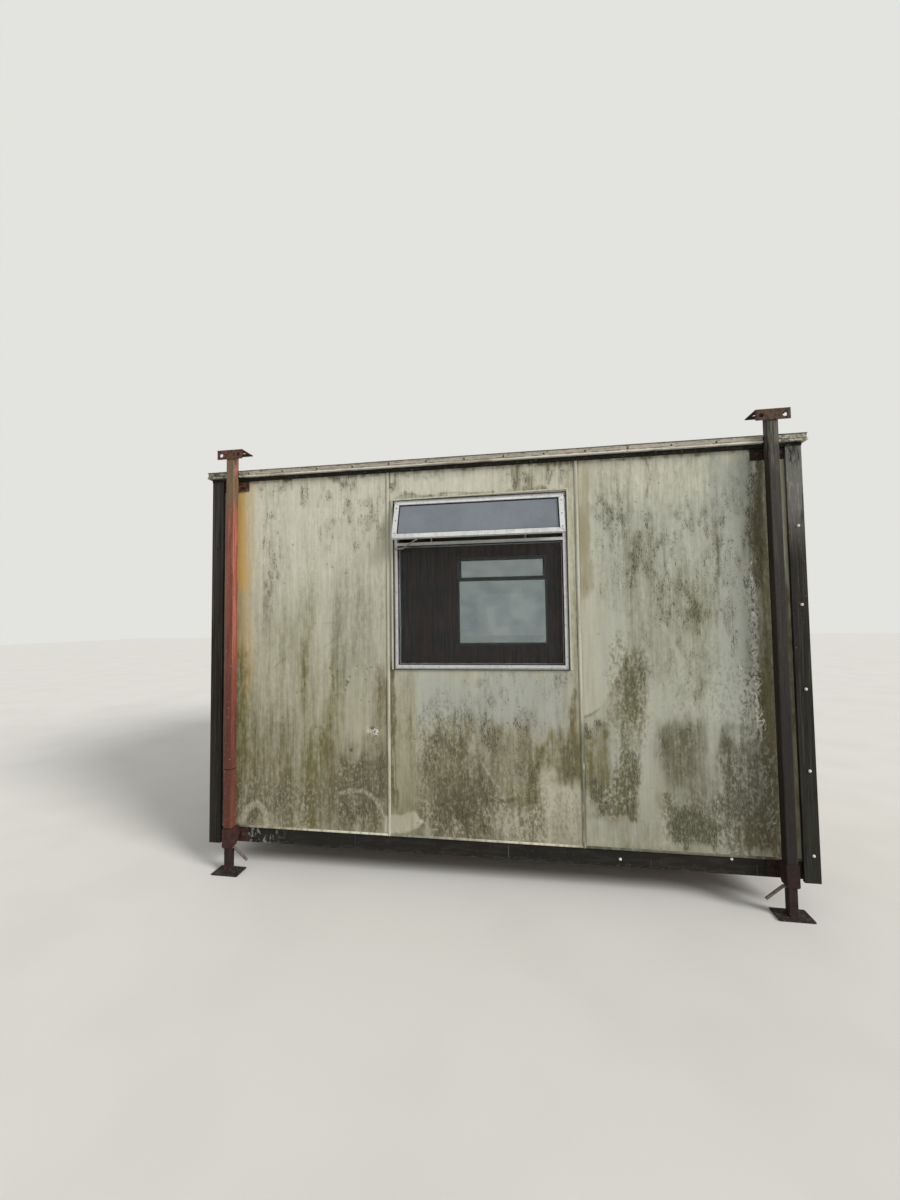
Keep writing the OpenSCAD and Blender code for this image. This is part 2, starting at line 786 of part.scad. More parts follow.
module leg_heads() {
    color([0.3, 0.25, 0.2]) at_every_leg() leg_head();
}

// A plate on the cladding under the fascia, and two cheeks that carry the leg
module top_bracket() {
    z0 = fascia_z - edge_gap - top_plate_h;
    translate([-plate_w / 2, wall_y - plate_t, z0]) cube([plate_w, plate_t, top_plate_h]);
    for (s = [-1, 1]) translate([s * (leg_out / 2 - leg_round - strap_t) - strap_t / 2, leg_out / 2, z0])
        cube([strap_t, wall_y - plate_t - leg_out / 2, top_plate_h]);
}

module top_brackets() {
    color([0.27, 0.2, 0.16]) at_every_leg() top_bracket();
}

// A plate on the chassis, and a strap that wraps the outer leg with tapered cheeks
module bottom_bracket() {
    plate_top = sheet_z - edge_gap;
    plate_y = rail_y - plate_t;
    front = -leg_out / 2 - strap_t;
    strap_top = outer_z + strap_h;
    translate([-plate_w / 2, plate_y, plate_top - low_plate_h]) cube([plate_w, plate_t, low_plate_h]);
    for (s = [-1, 1]) translate([s * (leg_out + strap_t) / 2 - strap_t / 2, 0, 0])
        rotate([90, 0, 90]) linear_extrude(strap_t)
            polygon([[front, outer_z], [leg_out / 2, outer_z], [plate_y, outer_z + cheek_rise],
                [plate_y, plate_top - edge_gap], [wall_y - edge_gap, plate_top - edge_gap],
                [leg_out / 2, strap_top], [front, strap_top]]);
    translate([-leg_out / 2 - strap_t, front, outer_z]) cube([leg_out + 2 * strap_t, strap_t, strap_h]);
}

module bottom_brackets() {
    color([0.3, 0.18, 0.14]) at_every_leg() bottom_bracket();
}

chassis_frame();
floor_joists();
floor_deck();
front_wall();
back_wall();
left_wall();
right_wall();
front_sheets();
back_sheets();
left_sheets();
right_sheets();
seam_strips();
side_corner_boards();
end_corner_boards();
roof_panel();
roof_covering();
roof_fascia();
roof_trim();
front_window_frame();
front_window_glass();
front_vent_sash();
front_vent_glass();
front_vent_stay();
back_window_frame();
back_vent_sash();
back_glass();
window_surrounds();
door_frame();
door_leaf();
door_hardware();
front_left_outer_leg();
front_right_outer_leg();
back_left_outer_leg();
back_right_outer_leg();
leg_heads();
top_brackets();
bottom_brackets();
front_left_inner_leg();
front_right_inner_leg();
back_left_inner_leg();
back_right_inner_leg();
front_left_leg_pin();
front_right_leg_pin();
back_left_leg_pin();
back_right_leg_pin();
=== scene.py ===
import math

import bpy
import numpy as np
from mathutils import Matrix, Vector


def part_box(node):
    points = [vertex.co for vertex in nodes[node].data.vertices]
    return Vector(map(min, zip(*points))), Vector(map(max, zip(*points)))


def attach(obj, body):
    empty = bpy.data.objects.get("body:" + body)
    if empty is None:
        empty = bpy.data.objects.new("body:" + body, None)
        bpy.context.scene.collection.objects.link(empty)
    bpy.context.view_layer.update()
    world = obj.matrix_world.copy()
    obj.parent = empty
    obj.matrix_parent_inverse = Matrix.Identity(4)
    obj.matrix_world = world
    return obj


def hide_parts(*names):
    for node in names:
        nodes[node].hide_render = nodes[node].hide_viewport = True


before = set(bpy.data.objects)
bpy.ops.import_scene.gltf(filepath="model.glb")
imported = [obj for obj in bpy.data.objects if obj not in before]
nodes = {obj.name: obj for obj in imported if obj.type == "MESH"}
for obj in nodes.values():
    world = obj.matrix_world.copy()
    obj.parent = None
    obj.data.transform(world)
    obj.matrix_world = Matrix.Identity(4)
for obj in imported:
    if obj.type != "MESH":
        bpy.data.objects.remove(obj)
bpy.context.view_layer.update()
mm = 0.001
print("frame loaded:", len(nodes), "nodes")


# Camera and studio. The angles are in radians

viewpoint = {
    "place": (0.264, -4.335, 1.654), "yaw": -0.1559, "pitch": 0.0454, "roll": -0.0124,
    "lens": 13.8, "sensor": 36.0, "clip": (0.05, 300),
}

studio = {
    "backdrop": "#E3E3DF", "floor": "#DCDAD3", "floorSize": 90.0, "floorLines": 5,
    "skyLight": 0.57, "sunLight": 2.85, "sunFrom": (0.84, -0.42, 0.52), "sunSpread": 20,
}


def linear(colour):
    # sRGB hex to linear light
    parts = [int(colour[i:i + 2], 16) / 255 for i in (1, 3, 5)]
    return [c / 12.92 if c <= 0.04045 else ((c + 0.055) / 1.055) ** 2.4 for c in parts] + [1.0]


def addNode(tree, kind, inputs=None, **settings):
    # Adds one shader node and gives its outputs. An input is a value or another node's output
    node = tree.nodes.new("ShaderNode" + kind)
    for key, value in settings.items():
        setattr(node, key, value)
    for key, value in (inputs or {}).items():
        if isinstance(value, bpy.types.NodeSocket):
            tree.links.new(value, node.inputs[key])
        else:
            node.inputs[key].default_value = value
    return node.outputs


def makeCamera():
    # A camera looks down its own -Z: it is rolled, then tipped up to the horizon and beyond, then turned to the left
    turns = (-viewpoint["yaw"], "Z"), (math.pi / 2 + viewpoint["pitch"], "X"), (viewpoint["roll"], "Z")
    yaw, pitch, roll = (Matrix.Rotation(angle, 4, axis) for angle, axis in turns)
    data = bpy.data.cameras.new("camera")
    data.lens, data.sensor_width = viewpoint["lens"], viewpoint["sensor"]
    data.clip_start, data.clip_end = viewpoint["clip"]
    camera = bpy.data.objects.new("camera", data)
    camera.matrix_world = Matrix.Translation(viewpoint["place"]) @ yaw @ pitch @ roll
    bpy.context.scene.collection.objects.link(camera)
    bpy.context.scene.camera = camera


def makeStudio():
    # The sky lights the scene evenly, but the camera, mirrors and glass see the plain backdrop
    scene = bpy.context.scene
    scene.view_settings.view_transform = "Standard"
    world = bpy.data.worlds.new("studio")
    scene.world = world
    world.use_nodes = True
    tree = world.node_tree
    tree.nodes.clear()
    rays = addNode(tree, "LightPath")
    seen = rays["Is Camera Ray"]
    for kind in ("Is Glossy Ray", "Is Transmission Ray"):
        seen = addNode(tree, "Math", {0: seen, 1: rays[kind]}, operation="MAXIMUM")[0]
    light = addNode(tree, "Background", {"Color": (1, 1, 1, 1), "Strength": studio["skyLight"]})
    backdrop = addNode(tree, "Background", {"Color": linear(studio["backdrop"]), "Strength": 1.0})
    both = addNode(tree, "MixShader", {0: seen, 1: light[0], 2: backdrop[0]})
    addNode(tree, "OutputWorld", {"Surface": both[0]})

    sun = bpy.data.lights.new("softKey", "SUN")
    sun.energy, sun.angle = studio["sunLight"], math.radians(studio["sunSpread"])
    lamp = bpy.data.objects.new("softKey", sun)
    lamp.rotation_euler = Vector(studio["sunFrom"]).to_track_quat("Z", "Y").to_euler()
    scene.collection.objects.link(lamp)


# Materials. Every pattern is worked out from sizes in millimetres on Object coordinates

def masked(tree, *masks):
    # The product of masks. A mask is a number, an output, or (output, low, high), eased from 0 at low to 1 at high
    share = None
    for mask in masks:
        if isinstance(mask, tuple):
            ends = dict(zip(("Value", "From Min", "From Max"), mask))
            mask = addNode(tree, "MapRange", ends, interpolation_type="SMOOTHSTEP")[0]
        if share is not None:
            mask = addNode(tree, "Math", {0: share, 1: mask}, operation="MULTIPLY")[0]
        share = mask
    return share


def laid(tree, under, over, *masks):
    # A colour laid over another through masks
    mixed = {0: masked(tree, *masks), 6: under, 7: linear(over)}
    return addNode(tree, "Mix", mixed, data_type="RGBA")[2]


def grain(tree, place, size, span, detail=2.0, shift=0.0):
    # Soft noise with cells of size mm, one number or along x, y and z, eased from 0 to 1 over span
    size = size if isinstance(size, tuple) else (size,) * 3
    cells = addNode(tree, "Mapping", {"Vector": place, "Location": [shift] * 3, "Scale": [1 / (s * mm) for s in size]})
    noise = addNode(tree, "TexNoise", {"Vector": cells[0], "Scale": 1.0, "Detail": detail, "Roughness": 0.6})
    return masked(tree, (noise[0], *span))


def startMaterial(name, surface):
    mat = bpy.data.materials.new(name)
    mat.use_nodes = True
    tree = mat.node_tree
    skin = tree.nodes["Principled BSDF"]
    for key, value in surface.items():
        skin.inputs[key].default_value = value
    return mat, tree, skin, addNode(tree, "TexCoord")["Object"]


def finishMaterial(tree, skin, colour, height, relief, strength=1.0):
    # Relief is the bump's depth in mm
    bump = addNode(tree, "Bump", {"Height": height, "Distance": relief * mm, "Strength": strength})
    tree.links.new(colour, skin.inputs["Base Color"])
    tree.links.new(bump[0], skin.inputs["Normal"])


def layeredFinish(name, base, layers, rough, metal=0.0, tooth=3, relief=0.4, grooves=0, gloss=0.5):
    # A base colour under layers of weathering, and in some finishes painted light and shade. A layer is its colour,
    # amount, size of cells in mm, span of noise and maybe the noise's detail, and then the zones (axis, from, to) in
    # metres over which it comes in. XY is x times y, above zero at the front left and back right corners. Tooth is the
    # size of the bump's cells, grooves a board's width
    mat, tree, skin, place = startMaterial(name, {"Roughness": rough, "Metallic": metal, "Specular IOR Level": gloss})
    x, y, z = addNode(tree, "SeparateXYZ", {"Vector": place})
    axes = {"X": x, "Y": y, "Z": z, "XY": masked(tree, x, y),
            "absY": addNode(tree, "Math", {0: y}, operation="ABSOLUTE")[0]}
    colour = linear(base)
    for number, (over, amount, size, span, *zones) in enumerate(layers):
        detail = 2.0 if not zones or isinstance(zones[0], tuple) else zones.pop(0)
        noise = grain(tree, place, size, span, detail, 7.3 * number)
        colour = laid(tree, colour, over, noise, *((axes[axis], low, high) for axis, low, high in zones), amount)
    height = grain(tree, place, tooth, (0.25, 0.75), 3.0, 3.1)
    if grooves:
        # Board joints: the distance to the nearest multiple of the board's width, along the wall
        along = addNode(tree, "Math", {0: x, 1: y}, operation="ADD")[0]
        gap = addNode(tree, "Math", {0: along, 1: grooves * mm / 2}, operation="PINGPONG")[0]
        joint = masked(tree, (gap, 5 * mm, 1.5 * mm))
        colour = laid(tree, colour, "#1A100A", joint, 0.85)
        height = addNode(tree, "Math", {0: height, 1: masked(tree, joint, 6.0)}, operation="SUBTRACT")[0]
    finishMaterial(tree, skin, colour, height, relief)
    return mat


# Sun-bleached coating with grime: the same paint as the sheets, on the joint strips and window surrounds
stripPaint = layeredFinish("stripPaint", "#BFBEAC", [
    ("#98947A", 0.45, (14, 14, 260), (0.42, 0.68)),
    ("#7A7656", 0.6, (26, 26, 160), (0.42, 0.66), ("Z", 1.5, 0.6)),
    ("#4B4A3A", 0.5, (6, 6, 12), (0.6, 0.7)),
    ("#5A5947", 0.8, 40, (0.2, 0.5), ("Z", 0.3, 0.29), ("X", 0.9, 1.4)),
    ("#55533F", 0.75, (30, 30, 120), (0.2, 0.5), ("X", 0.5, 0.6), ("Z", 1.1, 0.9), ("absY", 1.2, 1.35)),
], 0.65, relief=0.3, gloss=0.3)

# Old dark paint on rolled channel: near black and dull, with dried splashes and drips along the lower part
chassisPaint = layeredFinish("chassisPaint", "#191815", [
    ("#2C2A24", 0.7, (160, 160, 30), (0.45, 0.7)),
    ("#3A2D22", 0.5, 25, (0.6, 0.72)),
    ("#8D8C84", 0.75, (22, 22, 34), (0.5, 0.6), 7, ("X", -1.3, -1.52), ("X", -1.66, -1.58)),
    ("#8D8C84", 0.55, (5, 60, 300), (0.72, 0.76), ("Z", 0.28, 0.24)),
    ("#9A978C", 0.6, (12, 12, 4), (0.62, 0.7), ("Z", 0.195, 0.175)),
], 0.6, relief=0.5, gloss=0.2)

# Rough sawn softwood: pale brown with dark grain along the joist
joistTimber = layeredFinish("joistTimber", "#7A6246", [
    ("#4C3A28", 0.6, (6, 220, 6), (0.4, 0.65)),
    ("#2B241B", 0.5, (60, 90, 60), (0.5, 0.7)),
], 0.85, tooth=(2, 60, 2), relief=0.6)

# Rotary-cut plywood: wide wandering figure, trodden grey
deckPlywood = layeredFinish("deckPlywood", "#8A7252", [
    ("#6B5439", 0.6, (260, 28, 28), (0.42, 0.62), 3),
    ("#55504A", 0.6, 320, (0.42, 0.68)),
], 0.75, tooth=(60, 3, 3))

# Varnished hardwood plywood cut as matchboard: orange brown, with figure running up the wall and dark joints
liningPlywood = layeredFinish("liningPlywood", "#A0552F", [
    ("#5A2C16", 0.7, (16, 16, 420), (0.4, 0.62), 3),
    ("#AC6635", 0.5, (90, 90, 800), (0.5, 0.7)),
    ("#20140C", 0.5, 400, (0.45, 0.7)),
], 0.42, tooth=(2, 2, 120), relief=0.3, grooves=105)

# Dark stain on sawn board, with checks along the grain, silvered by the weather towards the top of two corners,
# a painted sheen high on the other two, and darker green towards the foot with grime and painted shade
boardStain = layeredFinish("boardStain", "#2A2822", [
    ("#171613", 0.8, (7, 7, 300), (0.45, 0.62), 3),
    ("#48463D", 0.6, (11, 11, 420), (0.5, 0.66), 3),
    ("#73726B", 0.8, (40, 40, 300), (0.3, 0.5), 3, ("Z", 1.95, 2.4), ("XY", 0.2, -0.2)),
    ("#93928C", 0.6, (8, 8, 60), (0.52, 0.66), 3, ("Z", 2, 2.5), ("XY", 0.2, -0.2)),
    # Darker green towards the foot: green grime and painted shade
    ("#2C2F22", 0.6, (60, 60, 120), (0.45, 0.62), ("Z", 1.3, 0.5)),
    # Paler grey high on the front left and back right boards: a painted sheen
    ("#4A4A49", 0.6, (14, 14, 500), (0.38, 0.62), ("Z", 1.5, 2.2), ("XY", -0.2, 0.2)),
    ("#8B8A80", 0.5, (9, 9, 14), (0.66, 0.7), ("XY", 0.2, -0.2), ("Z", 1.1, 1.6)),
], 0.85, tooth=(3, 3, 130), relief=0.9, gloss=0.2)

# The same stain on the fascia, sheltered under the trim and nearly black, the black partly stain and partly painted
# shade, with the grain along the roof
fasciaStainAndShade = layeredFinish("fasciaStainAndShade", "#1B1A17", [
    ("#35322B", 0.6, (240, 240, 7), (0.5, 0.66)),
    ("#4B4D38", 0.5, (50, 50, 12), (0.56, 0.68)),
    ("#8E8B7A", 0.6, (16, 16, 8), (0.62, 0.68), 4),
], 0.85, tooth=(110, 110, 3), relief=0.8, gloss=0.2)

# Plain ceiling board, yellowed
ceilingBoard = layeredFinish("ceilingBoard", "#C9C3B0", [
    ("#A89F86", 0.5, 500, (0.45, 0.7)),
], 0.7)

# Mineral felt: grit the size of coarse sand, drawn at 6 mm so that it shows, with damp and moss
roofFelt = layeredFinish("roofFelt", "#4B4E4B", [
    ("#6B6E69", 0.8, 6, (0.5, 0.62)),
    ("#363935", 0.55, (520, 300, 300), (0.44, 0.66), 4),
    ("#565C3A", 0.75, (170, 150, 150), (0.57, 0.65), 6),
], 0.95, tooth=5, relief=1.0)

# Painted edge metal gone chalky: pale beige grey, with mottled lines of brown mildew and a brighter washed lip
trimMetal = layeredFinish("trimMetal", "#ADA695", [
    ("#8F8878", 0.6, (140, 140, 9), (0.42, 0.62), 3),
    ("#DFDBCE", 0.7, (200, 200, 30), (0.35, 0.55), ("Z", 2.686, 2.679)),
    ("#463C37", 0.85, (40, 40, 6), (0.42, 0.56), 4, ("Z", 2.678, 2.682), ("Z", 2.691, 2.685)),
    # The top edge darker: painted shadow under the felt's edge
    ("#574E46", 0.7, (26, 26, 7), (0.5, 0.6), 4, ("Z", 2.694, 2.7)),
    ("#4C4A40", 0.8, (10, 10, 8), (0.58, 0.68), 4),
    ("#5C5F43", 0.5, (70, 70, 12), (0.5, 0.68), ("Z", 2.695, 2.713)),
    ("#3A352F", 0.8, (20, 20, 9), (0.5, 0.58), 4, ("X", 1.6, 1.75), ("absY", 1.2, 1.4)),
    ("#5D5A4E", 0.85, (22, 22, 12), (0.36, 0.56), 6, ("X", -1.55, -1.68), ("absY", 1.2, 1.4)),
    ("#2E2B27", 0.9, (14, 14, 9), (0.52, 0.6), 4, ("X", -1.55, -1.68), ("absY", 1.2, 1.4)),
], 0.65, metal=0.1, relief=0.5, gloss=0.35)

# Mill-finish aluminium extrusion, dulled by oxide: pale grey, soft sheen. The fixed frame, behind the vent's plane,
# is a little darker, and its hinge groove is dark with painted shade
windowAluminium = layeredFinish("windowAluminium", "#D0D1D0", [
    ("#ACADAA", 0.5, (30, 30, 220), (0.45, 0.68)),
    ("#E4E5E4", 0.5, (240, 30, 30), (0.5, 0.68)),
    ("#8A8B86", 0.3, 60, (0.1, 0.4), ("Y", -1.4125, -1.4112)),
    ("#5B5A54", 0.6, (8, 8, 10), (0.6, 0.7)),
    # The hinge groove: painted shade
    ("#33322E", 0.9, 60, (0.0, 0.2), ("Z", 2.4235, 2.4255), ("Z", 2.4345, 2.4325), ("Y", -1.4125, -1.4112)),
], 0.5, metal=0.25, tooth=(60, 4, 4), relief=0.1, gloss=0.4)

# Dull zinc: pale pegs, and a stay gone dark
stayMetal = layeredFinish("stayMetal", "#C9C8C0", [
    ("#77746A", 0.85, 90, (0.1, 0.3), ("X", -0.33, -0.36)),
    ("#7C786B", 0.6, 12, (0.5, 0.65)),
], 0.5, metal=0.4, relief=0.2)

# Red oxide primer on square tube: brick red on the sides, paler pink high up with painted sunlight, brown on the outer
# face with grime and painted shade, olive brown near the top, darker at the foot with grime and painted shade
redOxide = layeredFinish("redOxide", "#93503F", [
    # Paler pink streaks high up: painted sunlight
    ("#B97262", 0.7, (16, 16, 380), (0.4, 0.66), ("Z", 0.9, 1.9)),
    ("#5A2A22", 0.6, (22, 22, 300), (0.5, 0.66)),
    # The outer face darker and browner: grime and painted shade
    ("#56332A", 0.85, (30, 30, 400), (0.1, 0.45), ("absY", 1.482, 1.4885)),
    ("#6B6048", 0.85, (30, 30, 200), (0.3, 0.5), ("Z", 2.3, 2.62)),
    ("#4F4A35", 0.5, (14, 14, 120), (0.5, 0.62), ("Z", 1.9, 2.4)),
    # Darker towards the foot: grime and painted shade
    ("#3D2019", 0.62, (60, 60, 300), (0.1, 0.5), ("Z", 1.9, 0.8)),
    ("#2E1D16", 0.8, (5, 5, 9), (0.62, 0.7)),
    ("#B98A76", 0.6, (7, 7, 20), (0.64, 0.72)),
], 0.65, relief=0.5, gloss=0.3)

# Dark paint on the other legs: brown grey, rust showing through, olive where the wet runs down
darkPaint = layeredFinish("darkPaint", "#2B2823", [
    ("#1B1916", 0.7, (14, 14, 420), (0.45, 0.62)),
    ("#3F3C2C", 0.6, (18, 18, 500), (0.5, 0.66)),
    ("#45301F", 0.6, (20, 20, 60), (0.58, 0.7)),
    ("#57544D", 0.6, (5, 5, 12), (0.64, 0.72)),
    ("#6A655B", 0.7, (12, 12, 200), (0.5, 0.62), ("Z", 2.45, 2.6)),
    # Darker towards the foot: grime and painted shade
    ("#191713", 0.6, (60, 60, 400), (0.1, 0.5), ("Z", 1.9, 0.8)),
], 0.6, relief=0.5, gloss=0.25)

# Rusted flat steel of the heads: brown with dark pits and orange bloom, redder on the red legs
rustedSteel = layeredFinish("rustedSteel", "#58463A", [
    ("#6A3B30", 0.4, 50, (0.2, 0.5), ("XY", -0.2, 0.2)),
    ("#30251F", 0.8, 26, (0.45, 0.6), 4),
    ("#7A4E37", 0.6, 14, (0.56, 0.7), 4),
    ("#1E1815", 0.8, 5, (0.62, 0.7)),
], 0.85, metal=0.1, tooth=4, relief=0.8, gloss=0.25)

# Brackets and straps: rust under worn paint, the leg's own red at two corners and near black at the others
bracketRust = layeredFinish("bracketRust", "#2F2521", [
    ("#5B392E", 0.85, 50, (0.1, 0.4), ("XY", -0.2, 0.2)),
    ("#7A6342", 0.6, (22, 22, 16), (0.5, 0.6), 4, ("XY", -0.2, 0.2), ("Z", 2.3, 2.5)),
    ("#1F1714", 0.7, 30, (0.45, 0.6), 4),
    ("#573329", 0.6, 18, (0.55, 0.7), 4),
    ("#2C1B1B", 0.55, 60, (0.1, 0.5), ("Z", 0.6, 0.3)),
    ("#14100E", 0.8, 5, (0.62, 0.7)),
], 0.8, metal=0.1, tooth=4, relief=0.8, gloss=0.25)

# Bare inner tube: dark rust, greased, with mud splashes at the foot
innerTube = layeredFinish("innerTube", "#2F2221", [
    ("#1E1615", 0.8, (20, 20, 60), (0.45, 0.62)),
    ("#553A2E", 0.6, (10, 10, 14), (0.56, 0.7), 4),
    ("#6B6558", 0.5, (12, 12, 10), (0.5, 0.66), ("Z", 0.06, 0.015)),
], 0.75, metal=0.15, relief=0.6, gloss=0.3)

# Zinc-plated pins gone dull: grey brown, with rust where the plating is worn
pinSteel = layeredFinish("pinSteel", "#6B6259", [
    ("#4A3527", 0.8, 12, (0.45, 0.62), 4),
    ("#8C8880", 0.5, 30, (0.55, 0.7)),
], 0.55, metal=0.4, relief=0.5)

# Door leaf in the same coating as the cladding, cleaner, with hand grime by the handle
doorPaint = layeredFinish("doorPaint", "#AEAC96", [
    ("#96927A", 0.45, (70, 70, 700), (0.4, 0.66), 4),
    ("#C2C0AC", 0.3, (26, 26, 300), (0.5, 0.7)),
    ("#6F6A52", 0.6, (90, 90, 160), (0.45, 0.65), ("Z", 0.9, 0.35)),
    ("#55513F", 0.5, (40, 40, 60), (0.45, 0.62), ("Y", -0.1, -0.32), ("Z", 1.0, 1.2), ("Z", 1.65, 1.4)),
    ("#3E3D31", 0.6, (6, 6, 9), (0.64, 0.7)),
], 0.55, relief=0.3)

# Brushed steel furniture, dull
doorSteel = layeredFinish("doorSteel", "#8B8882", [
    ("#5F5850", 0.6, 14, (0.5, 0.66)),
], 0.42, metal=0.8, tooth=(2, 2, 40), relief=0.1)

# Moulded white nylon caps, yellowed and scuffed
capPlastic = layeredFinish("capPlastic", "#DAD8CD", [
    ("#A5A08C", 0.7, 7, (0.5, 0.65)),
], 0.5, relief=0.2)

# Perished black rubber glazing strip
gasketRubber = layeredFinish("gasketRubber", "#161615", [
    ("#3B3A36", 0.6, 14, (0.52, 0.68)),
], 0.8, relief=0.2, gloss=0.15)

# Bare heads of nails and screws: near black, freckled with rust
nailSteel = layeredFinish("nailSteel", "#2B2723", [
    ("#5A3F2C", 0.6, 5, (0.5, 0.65)),
], 0.7, metal=0.3, relief=0.2)


def makeGlass(name, tint, through, film, filmColour, index=1.5):
    # Float glass with dried rain and dust: a clear sheet that keeps a thin film, in clouds and in runs. An index below
    # that of glass keeps the studio's reflection faint, so that the room behind shows dark
    surface = {"Roughness": 0.04, "Transmission Weight": through, "Specular IOR Level": 0.12, "IOR": index}
    mat, tree, skin, place = startMaterial(name, surface)
    dust = grain(tree, place, (220, 220, 160), (0.35, 0.7), 3.0)
    runs = grain(tree, place, (9, 9, 240), (0.5, 0.72), 2.0, 4.0)
    colour = laid(tree, linear(tint), filmColour, dust, film)
    colour = laid(tree, colour, filmColour, runs, film * 0.6)
    tree.links.new(colour, skin.inputs["Base Color"])
    return mat


lowerGlass = makeGlass("lowerGlass", "#EEF1F1", 0.99, 0.08, "#B5BDBE", 1.2)
# The vent's pane, grey-blue and under half clear, is a painted reflection, with dust over it
ventGlassAndReflection = makeGlass("ventGlassAndReflection", "#979FA6", 0.45, 0.5, "#80878D")
farGlass = makeGlass("farGlass", "#B4BEBC", 0.85, 0.6, "#87949A")


def makeCladdingCoat():
    # Thick factory coating on flat sheet, chalked and grimed. It reads three sets of weathering and painted light from
    # the
    # mesh: film (algae, brown grime, rust stain, with grey grime as alpha), marks (mould density, black dirt and
    # darkening beside the joint strips, flaked spots) and tone (pale, blue, tan). The paleness is partly painted
    # sunlight high up and painted shade low down; the brown and grey hold painted shadow under the roof edge, and the
    # algae, grime, mould and black dirt the right front leg's painted shadow beside it
    mat, tree, skin, place = startMaterial("claddingCoat", {"Roughness": 0.72, "Specular IOR Level": 0.3})
    sets = [addNode(tree, "Attribute", attribute_name=name) for name in ("film", "marks", "tone")]
    film, marks, tone = (addNode(tree, "SeparateColor", {"Color": one["Color"]}) for one in sets)
    mould, blackDirt, flaked = marks
    hair = grain(tree, place, (13, 13, 220), (0.3, 0.7), 3.0)          # hair streaks, 13 mm apart
    bands = grain(tree, place, (60, 60, 900), (0.3, 0.7), 2.0, 5.0)    # rain tracks, 60 mm apart
    mottle = grain(tree, place, (22, 22, 40), (0.3, 0.7), 5.0, 11.0)   # blotches of chalk and damp, 22 mm across
    crumbs = grain(tree, place, (15, 15, 25), (0.3, 0.7), 7.0, 6.0)    # crazing of 15 mm and finer
    dashes = grain(tree, place, (6, 6, 20), (0.0, 1.0), 3.0, 2.0)      # small colonies of mould
    blots = grain(tree, place, (10, 10, 36), (0.0, 1.0), 7.0, 9.0)     # larger and more ragged ones
    curl = grain(tree, place, (34, 34, 40), (0.0, 1.0), 1.5, 4.0)      # loops of flaking, 34 mm across
    here = grain(tree, place, (60, 60, 90), (0.40, 0.50), 2.0, 8.0)    # where the coat does flake
    # Films lie thicker in some blotches and streaks than in others
    torn = addNode(tree, "Math", {0: mottle, 1: 0.6, 2: 0.35}, operation="MULTIPLY_ADD")[0]
    torn = addNode(tree, "Math", {0: hair, 1: 0.55, 2: torn}, operation="MULTIPLY_ADD")[0]
    # Colonies show where their noise plus the mould's density passes a level
    small, large = (addNode(tree, "Math", {0: mould, 1: gain, 2: noise}, operation="MULTIPLY_ADD")[0]
                    for noise, gain in ((dashes, 0.34), (blots, 0.30)))
    # Curled threads follow one level of their noise
    curl = addNode(tree, "Math", {0: curl, 1: 0.5}, operation="SUBTRACT")[0]
    curl = addNode(tree, "Math", {0: curl}, operation="ABSOLUTE")[0]
    flakes = masked(tree, (curl, 0.07, 0.03), here, (flaked, 0.86, 0.97))
    colour = linear("#8A856C")
    for over, *masks in (
        ("#CAC9B6", tone[0]), ("#807C65", hair, 0.24), ("#8F8C74", mottle, 0.20), ("#D3D2C1", bands, 0.18),
        ("#A0A49C", tone[1]), ("#8F8769", tone[2]),
        ("#5F6054", sets[0]["Alpha"], torn), ("#66633A", film[0], torn), ("#63593D", film[1], torn),
        ("#C0A05C", film[2], 0.9),  # rust stain runs down smoothly
        ("#BFBCA9", (crumbs, 0.58, 0.85), flaked, 0.62), ("#45443A", (crumbs, 0.44, 0.15), flaked, 0.78),
        ("#5E5D49", (mould, 0.2, 1.0), torn, 0.5),  # a smear where mould is dense
        ("#454537", (small, 0.84, 0.90), 0.75), ("#42412F", (large, 0.84, 0.90), 0.62),
        ("#33321F", blackDirt, 0.9), ("#D0CFC4", flakes, 0.9),
    ):
        colour = laid(tree, colour, over, *masks)
    bumps = {0: masked(tree, mottle, 0.6), 1: masked(tree, flakes, 0.8)}
    height = addNode(tree, "Math", bumps, operation="ADD")[0]
    finishMaterial(tree, skin, colour, height, 0.5, 0.8)
    return mat


claddingCoat = makeCladdingCoat()
print("materials made:", len(bpy.data.materials))


# Mesh making. A shape is an array of points and a list of face arrays

def gridFaces(rows, columns, wrapRows=False, wrapColumns=False):
    # Quads of a grid whose point (i, j) has number i * columns + j
    i = np.arange(rows if wrapRows else rows - 1)[:, None]
    j = np.arange(columns if wrapColumns else columns - 1)[None, :]
    iNext, jNext = (i + 1) % rows * columns, (j + 1) % columns
    i = i * columns
    return np.stack([i + j, iNext + j, iNext + jNext, i + jNext], -1).reshape(-1, 4)


def joined(shapes):
    points, faces, start = [], [], 0
    for shapePoints, shapeFaces in shapes:
        points.append(shapePoints)
        faces += [f + start for f in shapeFaces]
        start += len(shapePoints)
    return np.concatenate(points), faces


def turned(shape, at, out):
    # Stands a shape made along +Z on the point at, pointing out
    out = np.array(out, float) / np.linalg.norm(out)
    side = np.cross((0, 0, 1.0) if abs(out[2]) < 0.9 else (0, 1.0, 0), out)
    side /= np.linalg.norm(side)
    return shape[0] @ np.array([side, np.cross(out, side), out]) + np.array(at, float), shape[1]


